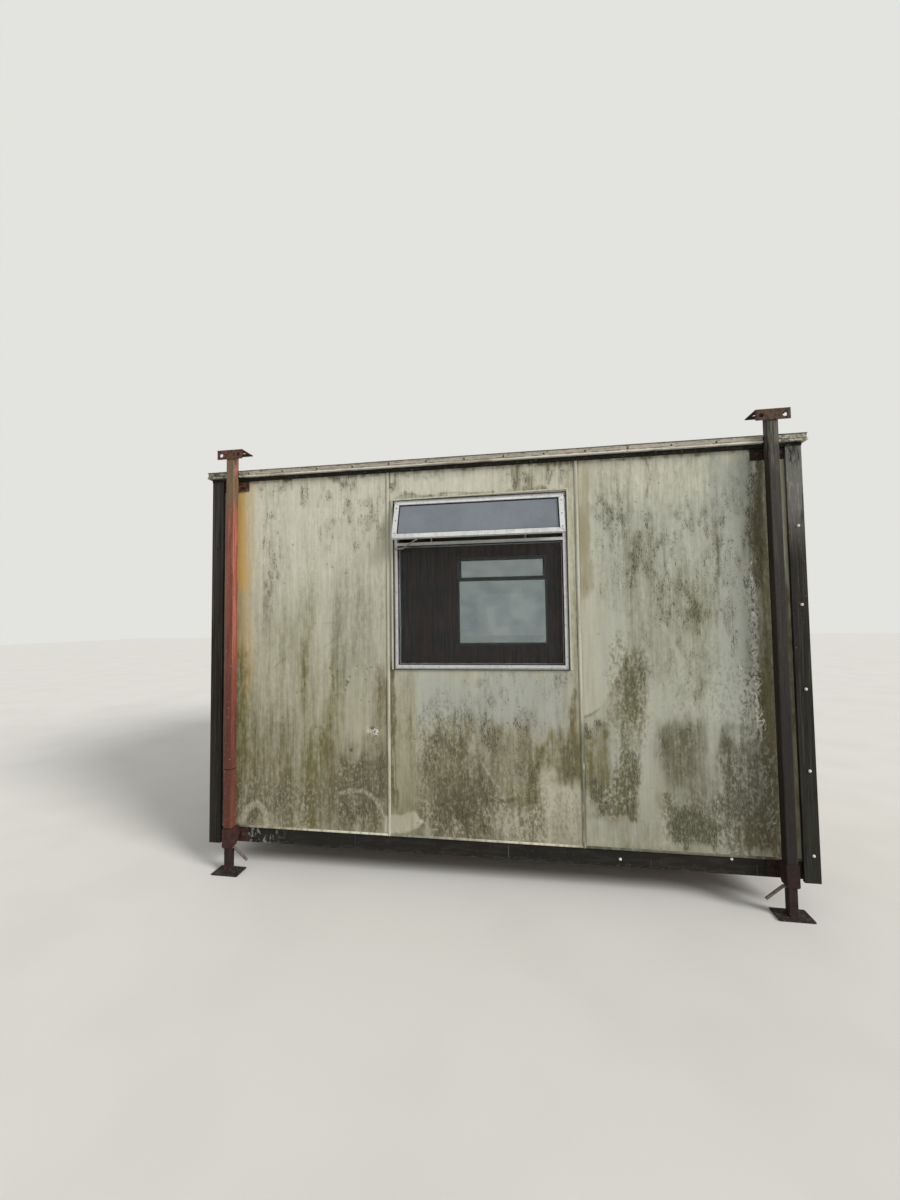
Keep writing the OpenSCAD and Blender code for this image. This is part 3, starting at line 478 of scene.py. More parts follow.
def revolved(profile, sides):
    # A profile of (radius, height, hexShare) in mm turned about Z. The first and last points are poles. A hexShare
    # of 1 makes a ring six-sided: the radius grows by 1 / cos of the angle from the nearest flat's middle
    rows = np.array([(p + (0,))[:3] for p in profile], float)
    angle = np.arange(sides) * 2 * np.pi / sides
    hexed = 1 / np.cos((angle + np.pi / 6) % (np.pi / 3) - np.pi / 6) - 1
    radius = rows[1:-1, :1] * (1 + rows[1:-1, 2:] * hexed)
    rings = [radius * np.cos(angle), radius * np.sin(angle), rows[1:-1, 1:2] + 0 * radius]
    rings = np.stack(rings, -1).reshape(-1, 3)
    points = np.concatenate([[[0, 0, rows[0, 1]]], rings, [[0, 0, rows[-1, 1]]]]) * mm
    j = np.arange(sides)
    k = (j + 1) % sides
    last = 1 + (len(rows) - 3) * sides
    quads = gridFaces(len(rows) - 2, sides, wrapColumns=True)[:, ::-1] + 1
    lids = [np.stack([0 * j, 1 + k, 1 + j], 1), np.stack([last + j, last + k, 0 * j + len(points) - 1], 1)]
    return points, [lids[0], quads, lids[1]]


def swept(profile, path, up, closed=False, swell=1.0):
    # Carries a profile of (side, up) points along a path, mitred where the path turns: at a turn the side vector is
    # the sum of both sides over one plus their product. Swell scales the profile at each point of the path
    path, up, profile = np.array(path, float), np.array(up, float), np.array(profile, float)
    steps = np.roll(path, -1, 0) - path if closed else np.diff(path, axis=0)
    steps /= np.linalg.norm(steps, axis=1, keepdims=True)
    sides = np.cross(steps, up)
    before, after = np.roll(sides, 1, 0), sides
    if not closed:
        before, after = np.concatenate([sides[:1], sides]), np.concatenate([sides, sides[-1:]])
    mitre = (before + after) / (1 + (before * after).sum(1, keepdims=True))
    swell = np.full(len(path), 1.0) * swell
    rings = profile[None, :, :1] * mitre[:, None] + profile[None, :, 1:] * up
    rings = path[:, None] + swell[:, None, None] * rings
    faces = [gridFaces(len(path), len(profile), closed, True)]
    if not closed:
        j = np.arange(1, len(profile) - 1)
        end = (len(path) - 1) * len(profile)
        faces += [np.stack([0 * j, j, j + 1], 1), np.stack([end + 0 * j, end + j + 1, end + j], 1)]
    return rings.reshape(-1, 3), faces


def roundProfile(radius, sides=8):
    angle = np.arange(sides) * 2 * np.pi / sides
    return np.stack([radius * np.cos(angle), radius * np.sin(angle)], 1)


def addPiece(name, shape, material, body="cabin", replaces=(), smooth=True, thick=0.0):
    # A thick piece is a face with a shell of that many mm behind it
    points, faces = shape
    mesh = bpy.data.meshes.new(name)
    sizes = np.concatenate([np.full(len(f), f.shape[1]) for f in faces])
    loops = np.concatenate([f.ravel() for f in faces])
    mesh.vertices.add(len(points))
    mesh.vertices.foreach_set("co", points.astype(np.float32).ravel())
    mesh.loops.add(len(loops))
    mesh.loops.foreach_set("vertex_index", loops.astype(np.int32))
    mesh.polygons.add(len(sizes))
    mesh.polygons.foreach_set("loop_start", np.concatenate([[0], np.cumsum(sizes)[:-1]]).astype(np.int32))
    mesh.polygons.foreach_set("use_smooth", np.full(len(sizes), smooth))
    mesh.update(calc_edges=True)
    mesh.validate()
    mesh.materials.append(material)
    piece = bpy.data.objects.new(name, mesh)
    bpy.context.scene.collection.objects.link(piece)
    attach(piece, body)
    if replaces:
        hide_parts(*replaces)
    if thick:
        shell = piece.modifiers.new("thickness", "SOLIDIFY")
        shell.thickness, shell.offset = thick * mm, -1
    return piece


# Noise and masks on the wall, worked out as whole arrays

def eased(value, low, high):
    t = np.clip((value - low) / (high - low), 0, 1)
    return t * t * (3 - 2 * t)


def wallNoise(across, up, cell, seed):
    # Random levels on a lattice of cell = (across, up) mm, eased between the four corners round each point
    a, b = across / (cell[0] * mm), up / (cell[1] * mm)
    i, j = np.floor(a).astype(int), np.floor(b).astype(int)
    fa, fb = a - i, b - j
    fa, fb = fa * fa * (3 - 2 * fa), fb * fb * (3 - 2 * fb)
    i, j = i - i.min(), j - j.min()
    levels = np.random.default_rng(seed).random((i.max() + 2, j.max() + 2))
    low = levels[i, j] * (1 - fa) + levels[i + 1, j] * fa
    high = levels[i, j + 1] * (1 - fa) + levels[i + 1, j + 1] * fa
    return low * (1 - fb) + high * fb


def softBox(x, z, box):
    # Box (x0, x1, z0, z1, soft across, soft up) in mm: 1 inside, eased to 0 over the soft edge
    x0, x1, z0, z1, sx, sz = (v * mm for v in box)
    return (eased(x, x0 - sx, x0 + sx) * (1 - eased(x, x1 - sx, x1 + sx))
            * eased(z, z0 - sz, z0 + sz) * (1 - eased(z, z1 - sz, z1 + sz)))


def edgeDistance(x, z, corners, closed):
    # Distance to the nearest edge of an outline or a line of points, and whether each point is inside it
    points = np.array(corners, float) * mm
    ends = np.roll(points, -1, 0)
    if not closed:
        points, ends = points[:-1], ends[:-1]
    px, pz = x.ravel()[:, None], z.ravel()[:, None]
    ex, ez = (ends - points).T
    ez = np.where(ez == 0, 1e-9, ez)
    t = np.clip(((px - points[:, 0]) * ex + (pz - points[:, 1]) * ez) / (ex * ex + ez * ez), 0, 1)
    gap = np.hypot(px - points[:, 0] - t * ex, pz - points[:, 1] - t * ez).min(1)
    crosses = ((points[:, 1] > pz) != (ends[:, 1] > pz)) & (px < ex * (pz - points[:, 1]) / ez + points[:, 0])
    return gap.reshape(x.shape), (crosses.sum(1) % 2 == 1).reshape(x.shape)


def patch(x, z, corners, soft):
    # 1 inside the outline, eased to 0 over soft mm to each side of it
    gap, inside = edgeDistance(x, z, corners, True)
    return eased(np.where(inside, gap, -gap), -soft * mm, soft * mm)


def stroke(x, z, points, width):
    # 1 along the line, eased to 0 round half its width in mm
    gap, _ = edgeDistance(x, z, points, False)
    return 1 - eased(gap, width * mm * 0.3, width * mm * 0.7)


def knock(x, z, place, inner, outer):
    # 1 at the knock (x, z, radius) in mm, eased to 0 from inner to outer times its radius
    kx, kz, radius = (v * mm for v in place)
    return 1 - eased(np.hypot(x - kx, z - kz), radius * inner, radius * outer)


# Front weathering, in mm from the middle of the wall and above the ground. Ochre is rust stain, olive
# algae, brown and grey grime, tan a wash of mud, flake crazed coat, wiped a rubbed place, blue chalk.
# Boxes are (strength, x0, x1, z0, z1, soft across, soft up), from the left sheet to the right-hand one
# Some boxes also paint shadow: brown and grey under the roof edge, and olive, grey, mould, black and brown beside the
# right front leg, where the leg's shadow falls
frontBoxes = {
    "ochre": [
        (0.95, -1720, -1618, 1870, 2600, 16, 80), (0.42, -1630, -1560, 1900, 2600, 28, 90),
        (0.35, -1660, -1590, 1150, 1880, 28, 220), (0.3, -1730, -1650, 1420, 1900, 20, 120)],
    "olive": [
        (0.4, -1720, -1652, 1870, 2620, 14, 80), (0.95, -1770, -1640, 380, 1500, 26, 200),
        (0.35, -1660, -1560, 450, 1300, 40, 250), (0.22, -1610, -1265, 400, 1000, 60, 200),
        (0.42, -1245, -1120, 950, 2000, 44, 260), (0.25, -1560, -1260, 1000, 1700, 60, 200),
        (0.62, -1225, -1014, 270, 980, 44, 200), (0.3, -1110, -900, 900, 1450, 60, 200),
        (0.55, -700, -606, 560, 1320, 30, 110), (0.6, 200, 262, 2490, 2620, 14, 40),
        (0.5, 290, 360, 2500, 2620, 16, 40), (0.4, 545, 606, 1400, 2560, 14, 200), (1.0, -604, -566, 440, 1330, 8, 60),
        (0.3, -570, -440, 400, 960, 24, 90), (0.28, -566, -430, 900, 1330, 50, 60),
        (0.8, -380, -110, 640, 960, 50, 130), (0.4, -450, -280, 330, 800, 50, 120), (0.95, 400, 608, 680, 960, 30, 60),
        (0.3, 440, 600, 940, 1150, 30, 60), (0.35, 880, 1040, 1850, 2230, 50, 120),
        # The last box on the next line, beside the right front leg, is algae and the leg's painted shadow
        (0.16, 900, 1330, 1300, 2050, 90, 240), (0.8, 1622, 1780, 250, 2560, 16, 60),
        (0.34, 800, 965, 850, 1050, 26, 60), (0.85, 800, 970, 980, 1500, 34, 90), (0.95, 614, 785, 594, 1000, 16, 12),
        (0.3, 1230, 1400, 1300, 1800, 30, 120)],
    "brown": [
        (0.12, -1640, -1560, 1700, 2600, 28, 90), (0.5, -1610, -1265, 260, 1080, 60, 200),
        (0.5, -1830, -612, 200, 760, 40, 260), (0.75, -1060, -1004, 280, 800, 14, 110),
        (0.6, -720, -606, 640, 1300, 34, 110), (0.92, -980, -640, 300, 780, 70, 130),
        # The first box on the next line is grime and painted shadow under the roof edge
        (0.7, 430, 606, 2620, 2665, 40, 16), (0.45, -604, -562, 440, 1330, 8, 60),
        (0.34, -130, 50, 560, 1010, 50, 110), (0.44, -450, -110, 330, 860, 50, 120), (0.95, -300, 0, 380, 680, 60, 90),
        (0.4, -110, 70, 330, 760, 40, 70), (0.36, 30, 320, 520, 940, 60, 90), (0.55, 420, 608, 660, 980, 30, 60),
        (0.9, 540, 580, 940, 1160, 6, 20), (0.5, -610, 610, 200, 500, 60, 120), (0.9, -10, 60, 280, 440, 24, 50),
        (0.6, 1404, 1428, 1820, 2310, 8, 90), (0.2, 900, 1080, 1300, 2150, 50, 200), (0.5, 640, 770, 600, 900, 24, 30),
        (0.22, 612, 1826, 250, 620, 60, 240)],
    "tan": [
        (0.4, -1730, -1650, 1420, 1880, 20, 120), (0.2, 200, 600, 2480, 2640, 40, 50),
        (0.12, -570, -440, 380, 1330, 40, 120), (0.35, 50, 300, 540, 940, 60, 80), (0.8, 640, 700, 1790, 2640, 14, 60),
        (0.5, 612, 660, 1800, 2645, 12, 80), (0.6, 1796, 1830, 250, 2620, 8, 40), (0.4, 1040, 1330, 500, 900, 60, 120)],
    "grey": [
        (0.35, -1508, -1450, 1600, 1900, 20, 80), (0.32, -1000, -650, 1250, 1980, 60, 150),
        # The first box on the next line is grime and painted shadow under the roof edge
        (0.35, -500, 60, 2615, 2660, 40, 12), (0.2, 700, 1640, 2250, 2650, 90, 90),
        # The last box on the next line, beside the right front leg, is grime and the leg's painted shadow
        (0.14, 760, 1420, 1250, 2250, 90, 240), (0.6, 1630, 1780, 250, 2450, 20, 160),
        (0.28, 612, 1040, 250, 460, 40, 60), (0.3, 1060, 1420, 500, 1000, 90, 160),
        (0.8, 1395, 1700, 460, 1010, 14, 60), (0.7, 1400, 1700, 300, 900, 14, 60),
        (0.35, 1080, 1400, 560, 800, 60, 80)],
    "mould": [
        (0.4, -1120, -1004, 280, 760, 16, 100), (0.44, -1505, -1405, 1750, 2640, 30, 100),
        (0.38, -1392, -1335, 1950, 2560, 20, 120), (0.55, -1575, -1480, 2560, 2660, 24, 34),
        (0.6, -1385, -1275, 2570, 2660, 26, 26), (0.36, -1245, -1160, 2450, 2660, 20, 60),
        (0.6, -1010, -830, 2570, 2660, 30, 34), (0.29, -1120, -640, 2150, 2600, 90, 160),
        (0.34, -900, -850, 2200, 2600, 14, 120), (0.74, -790, -640, 520, 820, 40, 80),
        (0.46, -1000, -640, 280, 640, 60, 100), (0.44, -1640, -1240, 260, 560, 60, 120),
        (0.8, -605, -530, 2560, 2650, 18, 30), (0.48, 130, 600, 2490, 2650, 80, 50),
        (0.4, -604, -560, 440, 1330, 8, 60), (0.33, -180, 540, 960, 1310, 60, 50),
        (0.24, -420, -140, 1020, 1260, 60, 70), (0.34, -410, -110, 820, 1120, 60, 110),
        (0.34, -130, 50, 560, 1050, 50, 110), (0.36, -400, -110, 560, 900, 50, 90), (0.35, -60, 60, 900, 1240, 50, 70),
        (0.3, 290, 540, 1150, 1330, 60, 50), (0.5, -320, 60, 300, 640, 60, 90), (0.42, 20, 330, 600, 990, 60, 90),
        (0.5, 400, 608, 650, 940, 30, 60), (0.45, -440, 300, 270, 500, 60, 60), (0.36, 740, 900, 1880, 2460, 50, 120),
        (0.52, 880, 1040, 1900, 2230, 50, 100), (0.26, 1040, 1420, 1650, 2440, 90, 160),
        (0.2, 700, 1420, 1200, 2300, 90, 200), (0.32, 1430, 1600, 1300, 2500, 50, 200),
        # The last box on the next line, beside the right front leg, is mould and the leg's painted shadow
        (1.0, 1598, 1660, 1900, 2570, 22, 70), (0.5, 1630, 1780, 250, 2300, 20, 160),
        (0.52, 800, 990, 1000, 1420, 40, 90), (0.22, 800, 965, 850, 1050, 26, 60), (0.6, 620, 785, 900, 1030, 26, 30),
        (0.6, 1040, 1420, 300, 640, 60, 80), (0.2, 1390, 1640, 300, 1000, 40, 160),
        (0.4, 1400, 1700, 420, 980, 20, 80), (0.36, 1180, 1320, 1150, 1480, 40, 70)],
    "black": [
        # The last box on the next line, beside the right front leg, is black dirt and the leg's painted shadow
        (0.32, -290, -10, 380, 620, 60, 90), (0.4, 1640, 1700, 2000, 2500, 20, 100)],
    "flake": [
        (0.5, -990, -640, 270, 760, 60, 90), (0.42, -1700, -1000, 260, 620, 60, 140),
        (0.5, -410, -100, 760, 1100, 60, 110), (0.62, -420, 380, 270, 520, 70, 60), (0.25, 300, 600, 270, 600, 70, 60),
        (0.35, -440, 440, 480, 800, 90, 120), (1.0, 1570, 1612, 1180, 1960, 12, 60),
        (1.0, 1585, 1640, 960, 1380, 14, 60), (0.7, 1500, 1600, 980, 1420, 34, 80),
        (0.96, 1620, 1660, 420, 900, 12, 110), (0.5, 1400, 1700, 270, 900, 30, 100),
        (0.25, 1100, 1500, 1050, 1500, 90, 120), (0.55, 790, 1000, 880, 1520, 40, 90),
        (0.62, 1050, 1400, 310, 640, 50, 70)],
    "wiped": [
        (0.45, -960, -770, 850, 1350, 50, 120), (0.5, -490, 130, 2500, 2640, 40, 30),
        (0.22, -420, 540, 1080, 1330, 50, 90)],
    "blue": [
        (0.8, -420, 540, 980, 1330, 50, 90), (0.48, 700, 1400, 700, 2400, 90, 160),
        (0.8, 1370, 1640, 1000, 2640, 60, 160), (0.4, 612, 1640, 270, 900, 40, 160)],
}
# Outlines are (strengths by layer, soft, corners)
dampShape = [(1075, 1020), (1280, 1040), (1310, 855), (1230, 690), (1110, 730), (1050, 900)]
footShape = [(1440, 390), (1500, 505), (1610, 525), (1640, 305), (1495, 320)]
frontPatches = [
    ({"wiped": 1.0}, 7, [(-640, 395), (-535, 410), (-450, 450), (-385, 365), (-415, 345), (-485, 305), (-640, 280)]),
    ({"wiped": 0.64}, 22, [(345, 520), (350, 640), (352, 730), (385, 755), (420, 740), (450, 640), (640, 612),
                           (640, 268), (560, 268), (500, 400), (420, 470)]),
    ({"wiped": 0.45}, 40, [(60, 440), (200, 500), (420, 480), (560, 380), (560, 270), (130, 275)]),
    ({"wiped": 0.6}, 20, [(-210, 330), (-200, 395), (-150, 400), (-125, 340), (-150, 300)]),
    ({"olive": 0.9, "mould": 0.6}, 26, [(395, 910), (340, 880), (290, 720), (262, 560), (330, 530), (352, 700)]),
    ({"olive": 0.45}, 26, [(120, 470), (120, 640), (220, 600), (300, 560), (300, 500), (200, 470)]),
    ({"wiped": 1.0}, 8, [(612, 1765), (655, 1780), (680, 1790), (715, 1755), (790, 1700), (840, 1700), (885, 1670),
                         (885, 1520), (862, 1400), (820, 1290), (790, 1225), (720, 1105), (612, 1050)]),
    ({"wiped": 0.5}, 24, [(940, 640), (1080, 500), (1080, 290), (620, 268), (620, 450), (760, 420), (930, 460)]),
    ({"wiped": 0.4}, 30, [(1000, 1250), (1060, 1250), (1070, 640), (950, 560), (945, 900)]),
    ({"mould": 0.7, "olive": 0.8}, 24, [(920, 445), (710, 475), (640, 570), (640, 700), (780, 640), (860, 880),
                                        (945, 800)]),
    ({"flake": 0.75}, 24, [(920, 445), (710, 475), (640, 560), (760, 640), (860, 900), (960, 820)]),
    ({"brown": 0.55, "grey": 0.85}, 70, dampShape), ({"mould": 0.5}, 60, dampShape),
    ({"black": 0.3, "mould": 1.0}, 44, [(1130, 560), (1285, 540), (1380, 465), (1350, 320), (1105, 350), (1065, 420)]),
    ({"olive": 0.7}, 34, [(1160, 530), (1285, 505), (1360, 455), (1330, 350), (1115, 360), (1085, 420)]),
    ({"brown": 0.85}, 16, footShape), ({"black": 0.3}, 20, footShape),
    # This outline, beside the right front leg, is brown grime and the leg's painted shadow
    ({"brown": 0.5}, 16, [(1645, 2500), (1612, 2280), (1600, 1950), (1616, 1840), (1600, 1625), (1602, 1230),
                          (1640, 1015), (1655, 700), (1680, 300), (1780, 270), (1780, 2500)]),
    ({"olive": 0.7}, 9, [(-555, 2465), (-510, 2495), (-435, 2500), (-370, 2473), (-305, 2483), (-240, 2492),
                         (-135, 2492), (-10, 2477), (50, 2486), (175, 2480), (300, 2500), (450, 2490), (450, 2440),
                         (-555, 2440)]),
    ({"tan": 0.45}, 12, [(612, 2010), (650, 1990), (668, 2060), (700, 2120), (692, 2300), (640, 2360), (612, 2330)]),
]
# Strokes are (strength, width, points): wipes, scrapes and drips
frontStrokes = {
    "wiped": [
        (0.62, 44, [(-1650, 310), (-1600, 395), (-1545, 438), (-1505, 415), (-1478, 360), (-1470, 300)]),
        (0.5, 30, [(-940, 530), (-880, 545), (-805, 550), (-735, 518), (-680, 460), (-650, 400)]),
        (0.6, 14, [(12, 745), (60, 660), (104, 595)]), (0.7, 10, [(53, 550), (133, 504)]),
        (0.45, 30, [(1090, 1620), (1150, 1520), (1185, 1400), (1195, 1280)]),
        (0.55, 12, [(-580, 800), (-574, 640), (-570, 470)]), (0.9, 10, [(2, 485), (22, 435), (12, 385)]),
        (0.8, 9, [(32, 470), (48, 425)])],
    "mould": [
        (0.7, 60, [(-1590, 310), (-1560, 370)]), (0.6, 60, [(-820, 420), (-740, 440)]),
        (0.5, 36, [(1240, 1800), (1285, 1720), (1290, 1560)])],
    "black": [
        (0.5, 7, [(-1420, 1352), (-1375, 1400)]), (0.45, 6, [(-1375, 1375), (-1326, 1435)]),
        (0.4, 6, [(-1052, 1489), (-1000, 1530), (-967, 1562)]), (0.28, 6, [(-1260, 1645), (-1110, 1648)]),
        (0.22, 5, [(-1070, 1648), (-974, 1650)]), (0.65, 11, [(475, 2595), (462, 2550), (445, 2515)]),
        (0.5, 8, [(-555, 2465), (-510, 2493), (-435, 2497), (-370, 2472), (-305, 2481), (-240, 2489), (-135, 2489),
            (-10, 2477)]),
        (0.45, 8, [(-470, 900), (-430, 895)]), (0.6, 26, [(70, 535), (130, 520), (190, 545)]),
        (0.5, 24, [(18, 400), (12, 325)]), (0.6, 12, [(612, 1050), (680, 1075), (720, 1110)])],
    "brown": [
        (0.6, 14, [(1025, 2630), (1045, 2535), (1020, 2400)]), (0.4, 10, [(380, 1330), (392, 1150)])],
    "olive": [
        (0.6, 30, [(1206, 1852), (1270, 1760), (1293, 1640)])],
    "flake": [
        (1.0, 60, [(-735, 945), (-700, 930)]), (0.9, 26, [(1500, 1360), (1560, 1320), (1602, 1240)]),
        (1.0, 26, [(1606, 1980), (1594, 1830), (1606, 1640), (1590, 1500), (1606, 1340), (1616, 1200), (1640, 1000)])],
}
# Knocks are (x, z, radius): dark chips with a dent behind them
frontKnocks = [
    (-871, 811, 13), (-1017, 1348, 8), (-911, 1203, 9), (-894, 1256, 13), (-960, 1330, 6), (-880, 1290, 7),
    (-830, 1365, 6), (-905, 1235, 8), (-1000, 1300, 5), (-760, 1345, 6), (-730, 1355, 5), (-690, 1350, 6),
    (-800, 1140, 6), (-745, 1130, 5), (-1255, 1185, 6), (-1225, 1195, 5), (-770, 1270, 6), (-1290, 2190, 5),
    (-1003, 2030, 6), (-905, 1985, 6), (160, 1010, 6), (-250, 1190, 5), (1500, 2110, 6), (1425, 1700, 7),
    (940, 1930, 6), (1400, 1330, 6), (720, 1560, 5), (960, 2370, 5), (1100, 2480, 5), (1018, 2290, 6), (850, 2270, 5),
    (-1350, 1010, 5), (-1120, 960, 5), (1235, 1690, 5),
]
layerNames = ("olive", "brown", "ochre", "grey", "mould", "black", "flake", "wiped", "blue", "tan")


def frontWeatherAndShadow(x, z, seed):
    # Places are shaken by noise first, so that edges come out ragged and bottoms run into drips, and the films are
    # thick in some clouds and thin in others
    def waves(*parts):
        return sum(reach * (wallNoise(x, z, cell, seed + own) - 0.5) for reach, cell, own in parts)

    shakeX = waves((0.02, (36, 60), 1), (0.05, (150, 280), 2))
    shakeZ = waves((0.06, (13, 240), 3), (0.10, (32, 300), 14), (0.09, (60, 60), 4))
    cloud = 1.05 + waves((0.6, (40, 200), 15), (0.5, (130, 300), 16))
    layers = {name: np.zeros_like(x) for name in layerNames}

    def lay(name, mask):
        layers[name] = 1 - (1 - layers[name]) * (1 - np.clip(mask, 0, 1))

    for name, boxes in frontBoxes.items():
        for strength, *box in boxes:
            lay(name, strength * softBox(x + shakeX, z + shakeZ, box) * (1 if name in ("blue", "ochre") else cloud))
    for strengths, soft, corners in frontPatches:
        share = 0.3 if "wiped" in strengths and soft < 20 else 1.0  # a wipe with a sharp edge is shaken less
        shape = patch(x + shakeX * share, z + shakeZ * share * 0.5, corners, soft)
        for name, strength in strengths.items():
            lay(name, strength * shape)
    for name, strokes in frontStrokes.items():
        for strength, width, points in strokes:
            lay(name, strength * stroke(x + shakeX * 0.4, z, points, width))
    for place in frontKnocks:
        lay("black", 0.9 * knock(x, z, place, 0.5, 1.3))
    # Grime and painted shadow under the roof edge
    lay("brown", 0.75 * eased(z + waves((0.03, (30, 30), 17)), 2.628, 2.65))
    return layers


def plainWeather(x, z, seed, top):
    # Sides that the picture doesn't show: the same wear by rule. Grime gathers from the foot, algae runs in streaks
    # and mould spreads under the roof edge
    def noise(cell, own):
        return wallNoise(x, z, cell, seed + own)

    clumps = noise((320, 520), 5)
    layers = {name: np.zeros_like(x) for name in layerNames}
    layers["olive"] = eased(noise((60, 900), 6) + 0.35 * clumps, 0.75, 1.15) * eased(z, 2.6, 0.6)
    layers["brown"] = 0.75 * eased(z + 0.5 * clumps, 1.15, 0.45)
    layers["mould"] = 0.9 * eased(clumps + 0.3 * noise((90, 160), 7), 0.72, 1.05)
    layers["mould"] += 0.6 * eased(z, top - 0.22, top - 0.06)
    for name, strength, cell, own, low, high in (
        ("blue", 0.5, (500, 900), 8, 0.55, 0.85), ("grey", 0.4, (160, 600), 18, 0.6, 0.9),
        ("flake", 0.8, (260, 420), 19, 0.72, 0.92), ("tan", 0.6, (40, 1200), 9, 0.78, 0.95),
    ):
        layers[name] = strength * eased(noise(cell, own), low, high)
    return layers


# Cladding sheets: each is a closed shell whose face is a grid of (across, up) points. Sizes are in mm
cladding = {
    "pitch": {"front": 9, "back": 22, "left": 22, "right": 22}, "thick": 9, "lip": 2, "wave": 1.6, "roll": 1.2,
    "rollWidth": 2.5, "dent": 1.5, "seamDark": (8, 16), "gap": 4, "frameLap": 8, "doorFoot": 12,
}
# Edges of the sheets in metres to the right of the wall's middle, seen from outside, and the sheets' outer faces
longStarts, longWidth = [-1.83 + 1.22 * number for number in range(3)], 1.216
endEdges = [-1.388, -0.61, 0.61, 1.388]
longFace, endFace = 1.4, 1.86
# Noise over a sheet: parts of (weight, cell in mm, own seed)
sheetNoise = {
    "waves": ((0.7, (420, 620), 0), (0.3, (160, 210), 20)),
    "tracks": ((0.28, (20, 460), 10), (0.34, (52, 1100), 11), (0.28, (140, 1500), 22), (0.10, (26, 70), 12)),
    "blots": ((0.6, (20, 60), 13), (0.4, (60, 150), 21)),
}
# Share of each kind of grime, with the painted shadow in it, that shows anywhere, and its gain where the noise is high
grimeAndShadowNoise = {
    "olive": ("tracks", 0.45, 0.9), "brown": ("tracks", 0.5, 0.85), "ochre": ("tracks", 0.65, 0.6),
    "grey": ("tracks", 0.5, 0.9), "mould": ("blots", 0.5, 0.7),
}
# Paleness at heights in metres, paler high up and darker low down: partly grime, partly painted sunlight high up and
# painted shade below
paleAndLitHeights, paleAndLitLevels = (0.3, 0.6, 1.2, 1.7, 2.0, 2.6), (0.08, 0.12, 0.42, 0.6, 0.85, 1.0)
# Directions to the right, seen from outside, and outwards
wallSides = {side: np.array(pair, float) for side, pair in {
    "front": ((1, 0, 0), (0, -1, 0)), "back": ((-1, 0, 0), (0, 1, 0)),
    "left": ((0, -1, 0), (-1, 0, 0)), "right": ((0, 1, 0), (1, 0, 0)),
}.items()}


def sheetSpans(side):
    half = cladding["gap"] * mm / 2
    if side in ("front", "back"):
        return [(start + half, start + half + longWidth) for start in longStarts]
    return [(start + half, end - half) for start, end in zip(endEdges, endEdges[1:])]


def gridLines(low, high, pitch, extra):
    # Evenly spaced lines, with the extra ones put in exactly
    marks = sorted({low, high, *[e for e in extra if low < e < high]})
    parts = [np.linspace(a, b, max(2, round((b - a) / pitch) + 1))[:-1] for a, b in zip(marks, marks[1:])]
    return np.concatenate(parts + [[high]])


def holedGrid(across, up, holes):
    # Grid points and quads, without the quads whose middle lies in a hole (x0, x1, z0, z1)
    x, z = np.meshgrid(across, up)
    quads = gridFaces(len(up), len(across))[:, ::-1]
    middleX, middleZ = x.ravel()[quads].mean(1), z.ravel()[quads].mean(1)
    keep = np.ones(len(quads), bool)
    for x0, x1, z0, z1 in holes:
        keep &= ~((middleX > x0) & (middleX < x1) & (middleZ > z0) & (middleZ < z1))
    used, numbers = np.unique(quads[keep], return_inverse=True)
    return x.ravel()[used], z.ravel()[used], numbers.reshape(-1, 4)


